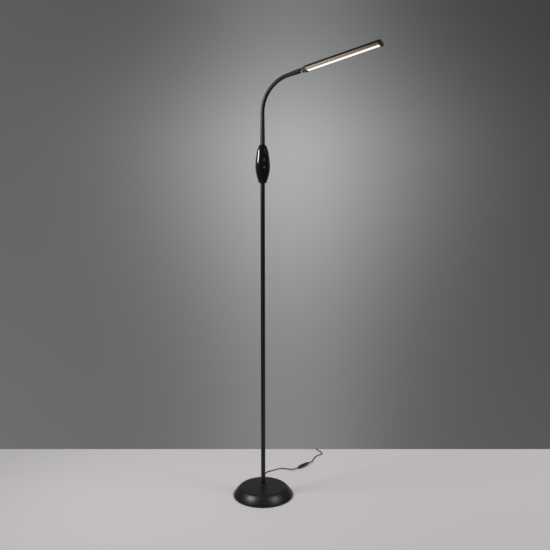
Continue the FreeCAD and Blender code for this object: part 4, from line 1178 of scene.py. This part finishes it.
@dataclass
class Studio:
    """Camera, floor, backdrop and lights.

    Attributes:
        distance: From the camera to the pole, on the floor.
        height: Height of the camera.
        pitch: How far the camera looks down, in radians.
        aside: How far the camera stands to the right of the pole.
        focal_pixels: Focal length in pixels of the photograph.
        frame_pixels: Width of the photograph in pixels.
        backdrop_away: How far the backdrop stands behind the pole.
        backdrop_size: Width and height of the backdrop.
        floor_size: Side of the floor.
        floor_drop: How far it lies under the lamp.
        even_light: Light from all round.
        mirrored_light: What shiny surfaces show of it.
        shown_light: What the camera shows of it.
        softboxes: The lights.
    """

    distance: float = 2.138
    height: float = 0.985
    pitch: float = math.radians(6.41)
    aside: float = 0.0395
    focal_pixels: float = 663.0
    frame_pixels: float = 550.0
    backdrop_away: float = 0.4115
    backdrop_size: tuple[float, float] = (2.8, 2.2)
    floor_size: float = 4.0
    floor_drop: float = 0.1 * MM
    even_light: float = 0.4
    mirrored_light: float = 0.03
    shown_light: float = 0.2
    softboxes: tuple[Softbox, ...] = (
        Softbox("left_softbox", azimuth=-71.0, away=1.14, height=1.48, side=0.5, power=23.0),
        Softbox("right_softbox", azimuth=67.5, away=3.6, height=4.5, side=1.6, power=125.0),
    )

    def build(self) -> None:
        """Set up the whole studio."""
        self.place_camera()
        self.lay_floor()
        self.hang_backdrop()
        self.set_world()
        for softbox in self.softboxes:
            softbox.build()
        bpy.context.scene.view_settings.view_transform = "Standard"

    def place_camera(self) -> None:
        """Put the camera where the photograph was taken from."""
        data = bpy.data.cameras.new("photo_camera")
        data.lens = data.sensor_width * self.focal_pixels / self.frame_pixels
        camera = linked("photo_camera", data)
        camera.location = seen(self.aside, -self.distance, self.height)
        look = seen(0, math.cos(self.pitch), -math.sin(self.pitch))
        camera.rotation_euler = look.to_track_quat("-Z", "Y").to_euler()
        bpy.context.scene.camera = camera

    def sheet(self, name: str, corners: Sequence[Vector], finish: Finish) -> None:
        """Add a flat piece of the stage.

        Args:
            name: Its name.
            corners: Its four corners.
            finish: Its finish.
        """
        mesh = bpy.data.meshes.new(name)
        mesh.from_pydata(corners, [], [(0, 1, 2, 3)])
        mesh.materials.append(finish.material())
        piece = linked(name, mesh)
        log.info("staged %s", name)

    def lay_floor(self) -> None:
        """Lay the pale floor."""
        half = self.floor_size / 2
        places = ((-half, -half), (half, -half), (half, half), (-half, half))
        corners = [Vector((x, y, -self.floor_drop)) for x, y in places]
        self.sheet("floor", corners, PaleFloor("pale_floor", (0.5, 0.478, 0.484), 0.55))

    def hang_backdrop(self) -> None:
        """Hang the backdrop behind the lamp, square to the view."""
        half = self.backdrop_size[0] / 2
        top = self.backdrop_size[1]
        places = ((-half, 0), (half, 0), (half, top), (-half, top))
        corners = [seen(self.aside + x, self.backdrop_away, z) for x, z in places]
        self.sheet("backdrop", corners, Backdrop("grey_backdrop", (0.985, 1.0, 0.995), 1.0))

    def set_world(self) -> None:
        """Set even light from all round, dimmer in reflections and to the camera."""
        graph = Graph(bpy.data.worlds.new("studio"))
        bpy.context.scene.world = graph.owner
        rays = graph.add("ShaderNodeLightPath")
        shader = self.background(graph, self.even_light)
        for ray, light in (("Is Glossy Ray", self.mirrored_light),
                           ("Is Camera Ray", self.shown_light)):
            sockets = {0: rays[ray], 1: shader, 2: self.background(graph, light)}
            shader = graph.add("ShaderNodeMixShader", None, sockets)[0]
        graph.add("ShaderNodeOutputWorld", None, {"Surface": shader})

    def background(self, graph: Graph, light: float) -> Link:
        """Add a plain grey background of a light."""
        return graph.add("ShaderNodeBackground", None, {"Color": (light, light, light)})[0]


# ---------------------------------------------------------------- base and pole
@dataclass
class RoundBase:
    """Weighted base with its soft pad and the bush where the lead leaves.

    Attributes:
        radius: The base's radius.
        exit_height: Height of the lead over the floor.
        boot: How far the bush stands out.
        pad_edge: Radius of the pad's rounded edge.
    """

    radius: float = 0.1
    exit_height: float = 0.007
    boot: float = 0.012
    pad_edge: float = 0.0004

    def build(self) -> None:
        """Dress the base and make its soft pieces."""
        dress(POWDER_BLACK, "base_shell", "foot_collar")
        dress(CAST_GREY, "base_weight")
        dress(ZINC, "base_plate", "pole_bolt", "pole_nut")
        self.pad()
        self.bush()

    def pad(self) -> None:
        """Make the soft sheet that the lamp stands on."""
        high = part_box("base_pad")[1]
        edge = self.pad_edge
        outline = ((0, 0), (high.x - edge, 0), (high.x, edge), (high.x, high.z - edge),
                   (high.x - edge, high.z), (0, high.z))
        piece = lathe("foot_pad", outline, Matrix(), 96)
        present(piece, FOAM, ["base_pad"])

    def bush(self) -> None:
        """Make the soft bush, its boot cut by relief grooves."""
        place = facing(Vector((0, 0, self.exit_height)), compass(LEAD_AZIMUTH))
        cord = CORD_DIAMETER / 2
        wall = self.radius
        barb = Vector(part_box("cable_grommet")[0][:2]).length
        outline = [(0, barb), (0.0027, barb), (0.0033, barb + 0.0015), (0.0027, barb + 0.003),
                   (0.0027, wall + 0.0003), (0.0031, wall + 0.0003), (0.0033, wall + 0.0005),
                   (0.0033, wall + 0.0013), (0.0031, wall + 0.0016)]
        grooves = 4
        start = wall + 0.0022
        pitch = (self.boot - 0.0028) / grooves
        for k in range(grooves):
            radius = cord + 0.0012 - 0.0006 * k / grooves
            low = start + k * pitch
            outline += [(radius, low), (radius - 0.0001, low + pitch * 0.55),
                        (radius - 0.0006, low + pitch * 0.62),
                        (radius - 0.0006, low + pitch * 0.9)]
        outline += [(cord + 0.0006, wall + self.boot - 0.0004), (cord + 0.0004, wall + self.boot),
                    (0, wall + self.boot)]
        present(lathe("lead_bush", outline, place), RUBBER_BLACK, ["cable_grommet"])


@dataclass
class Pole:
    """Pole of screwed tubes, with the cable inside it."""

    def build(self) -> None:
        """Dress the tubes and what is inside them."""
        dress(POWDER_BLACK, "pole_lower", "pole_middle", "pole_upper")
        dress(BRASS, "pole_inserts")
        dress(ZINC, "pole_studs")
        dress(CORD_BLACK, "inner_cable")


# ---------------------------------------------------------------- control housing
@dataclass
class ControlHousing:
    """Moulded housing with two buttons, and the screws of lamp and base.

    Attributes:
        screw_radius: Radius of a screw.
        head_radius: Radius of its head.
        head_height: Height of its head.
        screw_length: Length of a screw.
        recess: Width, reach and depth of the crossed recess.
        screw_heights: Heights of the housing's screws over its lower end and under its top.
        screw_face: How far behind the seam their heads lie.
        base_circle: Radius of the circle of the base's screws.
        base_screws: How many screws the base has.
        cap_colour: Colour of the buttons.
        marks: Each button's mark and the mark's radius in millimetres.
    """

    screw_radius: float = 0.0015
    head_radius: float = 0.0029
    head_height: float = 0.0016
    screw_length: float = 0.012
    recess: tuple[float, float, float] = (0.0008, 0.0017, 0.0011)
    screw_heights: tuple[float, float] = (0.0325, 0.028)
    screw_face: float = 0.008
    base_circle: float = 0.065
    base_screws: int = 4
    cap_colour: Colour = (0.018, 0.018, 0.0185)
    marks: tuple[tuple[str, Sign, float], ...] = (("button_upper", Sign.RING, 2.1),
                                                  ("button_lower", Sign.DOT, 1.3))

    def build(self) -> None:
        """Dress the housing and make the screws."""
        dress(GLOSS_BLACK, "control_front", "control_rear")
        for node, sign, reach in self.marks:
            low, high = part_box(node)
            middle = tuple((low + high) / 2)
            dress(ButtonCap(node + "_cap", self.cap_colour, 0.38, sign, middle, reach), node)
        dress(BOARD_WHITE, "control_board")
        dress(PARTS_BLACK, "board_parts")
        dress(BRASS, "pole_socket")
        self.screws()

    def one_screw(self) -> bpy.types.Object:
        """Make one countersunk screw with a crossed recess, its head's face at the origin.

        Returns:
            The piece.
        """
        shank = self.screw_radius
        outline = ((0, 0), (self.head_radius, 0), (self.head_radius, -0.0001),
                   (shank, -self.head_height), (shank, 0.0012 - self.screw_length),
                   (0.0003, -self.screw_length), (0, -self.screw_length))
        screw = lathe("screw", outline, Matrix(), 32)
        wide, reach, deep = self.recess
        half = wide / 2
        corner = [(reach, -half), (reach, half), (half, half)]
        outline = []
        for k in range(4):
            turn = Matrix.Rotation(k * math.pi / 2, 2)
            outline += [turn @ Vector(point) for point in corner]
        heights = ((1.0, 0.0005), (0.6, -deep))
        rings = [[Vector((point.x * share, point.y * share, height)) for point in outline]
                 for share, height in heights]
        carve(screw, skin("recess", rings))
        return screw

    def screws(self) -> None:
        """Make all the screws of housing and base."""
        low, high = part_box("control_rear")
        rear = Vector((-math.sin(HOUSING_TURN), math.cos(HOUSING_TURN), 0))
        heights = (low.z + self.screw_heights[0], high.z - self.screw_heights[1])
        places = [facing(rear * self.screw_face + Vector((0, 0, z)), rear) for z in heights]
        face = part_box("base_plate")[0].z
        for k in range(self.base_screws):
            turn = LEAD_AZIMUTH + 2 * math.pi / self.base_screws * (k + 0.5)
            spot = Vector((self.base_circle * math.cos(turn),
                           self.base_circle * math.sin(turn), face))
            places.append(facing(spot, -UP))
        piece = several("case_screw_set", self.one_screw(), places)
        present(piece, ZINC, ["case_screws"])


# ---------------------------------------------------------------- gooseneck
@dataclass(frozen=True)
class NeckPath:
    """The line of the gooseneck: a straight rise, a bend and a straight run.

    Attributes:
        foot: Height of its foot.
        rise: Length of the rise.
        radius: Radius of the bend.
        turn: Angle of the bend.
        run: Length of the run.
    """

    foot: float
    rise: float = 0.1
    radius: float = 0.115
    turn: float = math.radians(75.5)
    run: float = 0.042

    @property
    def length(self) -> float:
        """Give the whole length."""
        return self.rise + self.radius * self.turn + self.run

    def tilt(self, distance: float) -> float:
        """Give the angle from the vertical at a distance along the neck."""
        return min(max((distance - self.rise) / self.radius, 0.0), self.turn)

    def place(self, distance: float) -> Matrix:
        """Give the place at a distance, with +Z along the neck.

        Args:
            distance: The distance along the neck.

        Returns:
            The matrix.
        """
        tilt = self.tilt(distance)
        before = min(distance - self.rise, 0.0)
        after = max(distance - self.length + self.run, 0.0)
        centre = Vector((self.radius, 0, self.foot + self.rise))
        out = Vector((-math.cos(tilt), 0, math.sin(tilt))) * self.radius
        heading = Vector((math.sin(tilt), 0, math.cos(tilt)))
        point = centre + out + heading * (before + after)
        return Matrix.Translation(point) @ Matrix.Rotation(tilt, 4, "Y")

    def distance(self, point: Vector) -> float:
        """Give the distance of a point that lies on the rise or in the bend.

        Args:
            point: The point.

        Returns:
            Its distance along the neck.
        """
        above = point.z - self.foot - self.rise
        if above <= 0:
            return self.rise + above
        return self.rise + self.radius * math.atan2(above, self.radius - point.x)


@dataclass
class Gooseneck:
    """Soft sleeve over the wound hose, with its end fittings.

    Attributes:
        path: The line of the neck.
        foot_radius: The sleeve's radius at the housing.
        radius: Its radius in the bend.
        end_radius: Its radius at the head.
        foot_straight: Length of the straight foot.
        end_straight: Length of the straight end.
        bore: Radius of its bore.
        rim: Radius of its rounded ends.
        step: Distance from ring to ring.
        sides: Points in each ring.
        stretches: How many stretches the hose has.
    """

    path: NeckPath
    foot_radius: float = 0.0075
    radius: float = 0.0063
    end_radius: float = 0.0077
    foot_straight: float = 0.014
    end_straight: float = 0.008
    bore: float = 0.0045
    rim: float = 0.0007
    step: float = 0.0015
    sides: int = 40
    stretches: int = 10

    def build(self) -> None:
        """Dress the hose and make the sleeve, one piece over each joint."""
        hose = WoundHose("hose_strip", (0.5, 0.5, 0.49), 0.35, self.path.foot, self.path.rise,
                         self.path.radius)
        dress(hose, *[f"neck_hose_{k + 1:02d}" for k in range(self.stretches)])
        dress(ZINC, "neck_fitting_lower")
        end = self.path.place(self.path.length)
        axis = tuple(end.col[2][:3])
        dress(TurnedMetal("polished_ring", (0.86, 0.85, 0.83), 0.16, axis), "neck_fitting_upper")
        self.sleeves()

    def sleeves(self) -> None:
        """Make the sleeve's pieces, each from the middle of one stretch to the next."""
        joints = [joint for joint in frame["joints"] if joint["type"] == "hinge"]
        bends = [self.path.distance(Vector(joint["pos_m"])) for joint in joints]
        middles = [(low + high) / 2 for low, high in zip(bends, bends[1:])]
        starts = [0.0] + middles
        ends = middles + [self.path.length]
        for k, joint in enumerate(joints):
            name = f"sleeve_{k + 1:02d}"
            rings, distances = self.rings(starts[k], ends[k])
            piece = skin(name, rings, distances, closed=False)
            nodes = [f"neck_sleeve_{k + 1:02d}"]
            if k == len(joints) - 1:
                nodes.append(f"neck_sleeve_{k + 2:02d}")
            present(piece, SLEEVE_BLACK, nodes, None)
            reach = min(bends[k] - starts[k], ends[k] - bends[k])
            low = self.path.place(bends[k] - reach).translation
            high = self.path.place(bends[k] + reach).translation
            joint["parent"]
            joint["child"]
            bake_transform(piece)

    def sleeve_radius(self, distance: float) -> float:
        """Give the sleeve's radius.

        Args:
            distance: Distance along the neck.

        Returns:
            The radius there.
        """
        foot = (distance - self.foot_straight) / (self.path.rise - self.foot_straight)
        start = self.path.length - self.path.run
        end = (distance - start) / (self.path.run - self.end_straight)
        narrowing = min(max(foot, 0.0), 1.0)
        widening = min(max(end, 0.0), 1.0)
        return (self.foot_radius + (self.radius - self.foot_radius) * narrowing
                + (self.end_radius - self.radius) * widening)

    def rounded(self, edge: float, inward: int, radius: float) -> list[tuple[float, float]]:
        """Give the rounded rim at one end of the neck, from its face to the sleeve's side.

        Args:
            edge: Where the end is along the neck.
            inward: 1 if the neck goes on after it, -1 if the neck lies before it.
            radius: The sleeve's radius there.

        Returns:
            Distances along the neck and radii.
        """
        turns = [math.radians(angle) for angle in (90, 60, 30, 0)]
        return [(edge + inward * self.rim * (1 - math.sin(turn)),
                 radius - self.rim * (1 - math.cos(turn))) for turn in turns]

    def rings(self, start: float, end: float) -> tuple[list[list[Vector]], list[float]]:
        """Give the rings of one piece, with rounded rims at the neck's two ends.

        Args:
            start: Where the piece starts along the neck.
            end: Where it ends.

        Returns:
            The rings, and their distances.
        """
        count = max(4, round((end - start) / self.step))
        outline = [(start + (end - start) * k / count, None) for k in range(count + 1)]
        if start == 0.0:
            rim = self.rounded(start, 1, self.foot_radius)
            outline = [(start, self.bore)] + rim + outline[1:]
        if end == self.path.length:
            rim = self.rounded(end, -1, self.end_radius)
            outline = outline[:-1] + rim[::-1] + [(end, self.bore)]
        rings = []
        for distance, radius in outline:
            wide = self.sleeve_radius(distance) if radius is None else radius
            rings.append(ring(self.path.place(distance), wide, 0.0, self.sides))
        return rings, [distance for distance, radius in outline]


# ---------------------------------------------------------------- lit head
@dataclass
class LitHead:
    """Slim head with its lit panel.

    Attributes:
        seat: Middle of the head's near end.
        tilt: The head's angle over the horizontal.
        half_thick: Half its thickness.
        lip: Height of the dark lip under the side band.
    """

    seat: Vector
    tilt: float
    half_thick: float = 0.007
    lip: float = 0.0016

    def build(self) -> None:
        """Dress the whole head."""
        out = Vector((math.cos(self.tilt), 0, math.sin(self.tilt)))
        up = Vector((-math.sin(self.tilt), 0, math.cos(self.tilt)))
        dress(HEAD_BLACK, "head_housing")
        dress(END_BLACK, "head_root_cap", "head_tip_cap")
        edge = (self.lip - self.half_thick) / MM
        # the band's light colour is partly a painted reflection
        band = SideBand("smoked_band_painted_reflection", (0.5, 0.42, 0.37), 0.36, (0.15, 0.13, 0.105),
                        tuple(self.seat), tuple(up), tuple(out), edge)
        dress(band, "head_rails")
        dress(LitPanel("opal_panel_lit", (0.99, 0.953, 0.85), 0.4), "head_panel")
        dress(BOARD_WHITE, "led_strip")
        dress(CHIP, "leds")
        dress(ZINC, "head_grub_screw")


# ---------------------------------------------------------------- leads, coupling and adapter
@dataclass
class Lead:
    """Thin lead from the base to the plug-in adapter, with its coupling and coil.

    Attributes:
        coupling_start: The coupling's near end, to the right and away.
        coupling_heading: Its heading from right towards away.
        coupling_height: Height of its axis.
        socket_length: Length of the coupling's socket half.
        plug_length: Length of its plug half.
        gap: Gap between the two halves.
        straights: Lead in line with the coupling before and after it.
        coil_centre: Middle of the coil, to the right and away.
        coil_radius: Mean radius of the coil's turns.
        pitch: From turn to turn and layer to layer.
        turns: Turns in a layer.
        layers: How many layers.
        coil_height: Height of the lowest turns.
        lead_in: Straight lead before the first turn.
        lead_out: Straight lead after the last turn.
        approach: Length and drop of the lead that comes to the coil.
        lamp_length: Length of the lamp's own lead; not used.
        adapter_length: Length of the adapter's lead; not used.
        exit_reach: Where the lead leaves its bush, from the pole.
        exit_height: Its height there.
        pin_half: Half the length of the adapter's pins.
    """

    coupling_start: tuple[float, float] = (0.123, 0.212)
    coupling_heading: float = math.radians(47.5)
    coupling_height: float = 0.006
    socket_length: float = 0.036
    plug_length: float = 0.030
    gap: float = 0.0003
    straights: tuple[float, float] = (0.016, 0.012)
    coil_centre: tuple[float, float] = (0.182, 0.447)
    coil_radius: float = 0.0176
    pitch: float = 0.0044
    turns: int = 3
    layers: int = 4
    coil_height: float = 0.00315
    lead_in: float = 0.005
    lead_out: float = 0.016
    approach: tuple[float, float] = (0.015, 0.0003)
    lamp_length: float = 0.204
    adapter_length: float = 1.47
    exit_reach: float = 0.112
    exit_height: float = 0.007
    pin_half: float = 0.0095

    LAMP_ROUTE = (
        (0.0000, 0.1240, 0.0060),
        (0.0006, 0.1390, 0.0036),
        (0.0010, 0.1550, 0.0018),
        (0.0025, 0.1700, 0.0018),
        (0.0110, 0.1850, 0.0018),
        (0.0280, 0.1960, 0.0018),
        (0.0500, 0.2120, 0.0018),
        (0.0690, 0.2170, 0.0018),
        (0.0845, 0.2105, 0.0026),
        (0.0975, 0.2010, 0.0046),
    )
    ADAPTER_ROUTE = (
        (0.1810, 0.2830, 0.0030),
        (0.1850, 0.2990, 0.0018),
        (0.1900, 0.3160, 0.0018),
        (0.1970, 0.3320, 0.0018),
        (0.2080, 0.3440, 0.0018),
        (0.2200, 0.3530, 0.0018),
        (0.2245, 0.3670, 0.0018),
        (0.2185, 0.3820, 0.0018),
        (0.2095, 0.3950, 0.0018),
        (0.2048, 0.4100, 0.0019),
    )

    @property
    def heading(self) -> Vector:
        """Give the direction of the coupling."""
        return seen(math.cos(self.coupling_heading), math.sin(self.coupling_heading), 0)

    @property
    def socket_end(self) -> Vector:
        """Give the coupling's near end."""
        return seen(*self.coupling_start, self.coupling_height)

    @property
    def plug_face(self) -> Vector:
        """Give the face of the plug half."""
        return self.socket_end + self.heading * (self.socket_length + self.gap)

    @property
    def outer_radius(self) -> float:
        """Give the radius of the coil's outer turns."""
        return self.coil_radius + self.pitch * (self.turns - 1) / 2

    def build(self) -> None:
        """Make the leads and all that is on them."""
        socket = self.socket()
        plug = self.plug()
        tie = self.tie()
        dress(ADAPTER_BLACK, "power_adapter")
        self.dress_pins()
        start = compass(LEAD_AZIMUTH) * self.exit_reach
        start.z = self.exit_height
        last = self.socket_end - self.heading * self.straights[0]
        route = [start] + [seen(*point) for point in self.LAMP_ROUTE] + [last, self.socket_end]
        cord = self.curve("lamp_cord", route)
        present(cord, CORD_BLACK, ["lamp_lead"])
        end = self.plug_face + self.heading * self.plug_length
        after = end + self.heading * self.straights[1] - Vector((0, 0, 0.001))
        route = [end, after] + [seen(*point) for point in self.ADAPTER_ROUTE] + self.coil_points()
        cord = self.curve("adapter_cord", route)
        present(cord, CORD_BLACK, ["adapter_lead", "adapter_coil"])

    def curve(self, name: str, route: Sequence[Vector]) -> bpy.types.Object:
        """Lay a cord along a route.

        Args:
            name: The cord's name.
            route: Its control points.

        Returns:
            The cord.
        """
        curve = bpy.data.curves.new(name, "CURVE")
        curve.dimensions = "3D"
        curve.bevel_depth = CORD_DIAMETER / 2
        curve.bevel_resolution = 5
        curve.use_fill_caps = True
        spline = curve.splines.new("NURBS")
        spline.points.add(len(route) - 1)
        for control, point in zip(spline.points, route):
            control.co = (*point, 1.0)
        spline.order_u = 3
        spline.use_endpoint_u = True
        spline.resolution_u = 6
        return linked(name, curve)

    def coil_points(self) -> list[Vector]:
        """Give the control points of the coil, in layers that spiral in and out again.

        Returns:
            The points.
        """
        steps = 8
        tighten = 1 / (0.75 + 0.25 * math.cos(math.pi / steps))
        radius = self.outer_radius
        offset = 0.0
        height = self.coil_height
        side = 1
        length, drop = self.approach
        points = [Vector((radius, -self.lead_in - length, height - drop)),
                  Vector((radius, -self.lead_in, height)), Vector((radius, 0, height))]
        for layer in range(self.layers):
            inward = self.pitch / 2 * (-1 if layer % 2 == 0 else 1)
            for half in range(2 * self.turns):
                climbs = half == 2 * self.turns - 1 and layer < self.layers - 1
                for k in range(steps):
                    share = (k + 0.5) / steps
                    turn = math.pi * share + (0.0 if side > 0 else math.pi)
                    lift = self.pitch * max(2 * share - 1, 0.0) if climbs else 0.0
                    points.append(Vector((offset + radius * tighten * math.cos(turn),
                                          radius * tighten * math.sin(turn), height + lift)))
                if climbs:
                    height += self.pitch
                else:
                    offset += side * inward
                    radius += inward
                side = -side
        points.append(Vector((radius, 0, height)))
        points.append(Vector((radius, self.lead_out, height)))
        centre = seen(*self.coil_centre, 0)
        turn = Matrix.Rotation(FRONT_AZIMUTH, 4, "Z")
        return [centre + turn @ point for point in points]

    def socket(self) -> bpy.types.Object:
        """Make the socket half of the coupling, with grip rings.

        Returns:
            The piece.
        """
        cord = CORD_DIAMETER / 2
        body = self.coupling_height
        length = self.socket_length
        outline = [(0, 0), (cord + 0.0006, 0), (cord + 0.0008, 0.0003)]
        outline += self.ribs(0.0012, 0.0085, cord + 0.0009, cord + 0.0016, 4)
        outline += [(body - 0.0006, 0.0108), (body - 0.0001, 0.0114), (body, 0.013)]
        outline += self.ribs(0.016, 0.027, body, body, 5)
        outline += [(body, length - 0.0012), (body - 0.0003, length - 0.0003),
                    (body - 0.0008, length), (0.0028, length), (0.0028, length - 0.009),
                    (0, length - 0.009)]
        piece = lathe("coupling_socket", outline, facing(self.socket_end, self.heading))
        return present(piece, COUPLING_BLACK, ["dc_socket"])

    def plug(self) -> bpy.types.Object:
        """Make the plug half of the coupling, with its metal barrel.

        Returns:
            The piece.
        """
        cord = CORD_DIAMETER / 2
        body = 0.0052
        length = self.plug_length
        place = facing(self.plug_face, self.heading)
        outline = [(0, 0), (body - 0.0006, 0), (body, 0.0006)]
        outline += self.ribs(0.003, 0.0125, body, body, 4)
        outline += [(body, 0.014), (body - 0.0006, 0.0158), (body - 0.0012, 0.017)]
        outline += self.ribs(0.0185, length - 0.0012, body - 0.0015, cord + 0.0009, 5)
        outline += [(cord + 0.0008, length - 0.0003), (cord + 0.0006, length), (0, length)]
        piece = lathe("coupling_plug", outline, place)
        barrel = lathe("plug_barrel", ((0, -0.009), (0.0023, -0.009), (0.00275, -0.0086),
                                       (0.00275, 0.001), (0, 0.001)), place, 32)
        present(barrel, ZINC)
        return present(piece, COUPLING_BLACK, ["dc_plug"])

    def ribs(self, start: float, end: float, first: float, last: float,
             count: int) -> list[tuple[float, float]]:
        """Give the outline of grip ribs.

        Args:
            start: Height of the first rib.
            end: Height where they stop.
            first: Radius at the first rib.
            last: Radius where they stop.
            count: How many ribs.

        Returns:
            Radii and heights.
        """
        deep = 0.0005
        pitch = (end - start) / count
        outline = []
        for k in range(count):
            radius = first + (last - first) * k / count
            low = start + k * pitch
            for share, sunk in ((0.0, 0), (0.08, 1), (0.42, 1), (0.5, 0), (0.75, 0)):
                outline.append((radius - sunk * deep, low + share * pitch))
        return outline

    def tie(self) -> bpy.types.Object:
        """Make the strap round the coil's bundle, with its overlapping end.

        Returns:
            The piece.
        """
        play = 0.0009
        thick = 0.0008
        half_wide = 0.0035
        cord = CORD_DIAMETER / 2
        out = -self.outer_radius - cord - play - thick / 2
        within = -self.outer_radius + (self.turns - 1) * self.pitch + cord + play + thick / 2
        low = self.coil_height - cord - play / 2 - thick / 2
        high = self.coil_height + (self.layers - 1) * self.pitch + cord + play / 2 + thick / 2
        bend = 0.0024
        corners = ((within - bend, low + bend, -90), (within - bend, high - bend, 0),
                   (out + bend, high - bend, 90), (out + bend, low + bend, 180))
        line = []
        for x, z, first in corners:
            for k in range(7):
                turn = math.radians(first + 15 * k)
                point = Vector((x + bend * math.cos(turn), 0, z + bend * math.sin(turn)))
                line.append((point, turn))
        centre = Matrix.Translation(seen(*self.coil_centre, 0))
        centre = centre @ Matrix.Rotation(FRONT_AZIMUTH, 4, "Z")
        flat = half_wide - 0.15 * MM
        section = ((-half_wide, -0.3), (-half_wide, 0.3), (-flat, 0.5), (flat, 0.5),
                   (half_wide, 0.3), (half_wide, -0.3), (flat, -0.5), (-flat, -0.5))

        def rung(point: Vector, turn: float, lift: float = 0.0) -> list[Vector]:
            """Give the strap's section at a point of its line, lifted outwards."""
            outward = Vector((math.cos(turn), 0, math.sin(turn)))
            return [centre @ (point + outward * (lift + share * thick) + Vector((0, wide, 0)))
                    for wide, share in section]

        distances = [0.0]
        for (first, _), (second, _) in zip(line, line[1:] + line[:1]):
            distances.append(distances[-1] + (second - first).length)
        rungs = [rung(point, turn) for point, turn in line]
        strap = skin("coil_strap", rungs, distances, loop=True)
        span = within - out - 2 * bend
        rungs = [rung(Vector((within - bend - span * share, 0, high)), math.pi / 2,
                      thick * (0.9 + 0.7 * share ** 3))
                 for share in (0.05, 0.25, 0.45, 0.65, 0.85, 0.95)]
        loose = skin("coil_strap_end", rungs, [k * 0.002 for k in range(len(rungs))])
        present(loose, STRAP)
        return present(strap, STRAP, ["coil_tie"])

    def dress_pins(self) -> None:
        """Dress the adapter's pins, sleeved near the adapter."""
        out = seen(0, 1, 0)
        low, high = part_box("adapter_pins")
        root = (low + high) / 2 - out * self.pin_half
        pins = PlatedPins("plated_pin", (0.7, 0.69, 0.66), 0.2, tuple(root), tuple(out))
        dress(pins, "adapter_pins")


def main() -> None:
    """Build the studio and every part of the lamp."""
    logging.basicConfig(level=logging.INFO, format="%(name)s: %(message)s")
    Studio().build()
    path = NeckPath(foot=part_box("control_rear")[1].z)
    end = path.place(path.length)
    RoundBase().build()
    Pole().build()
    ControlHousing().build()
    Gooseneck(path).build()
    LitHead(end.translation, math.pi / 2 - path.turn).build()
    Lead().build()


if __name__ == "__main__":
    main()
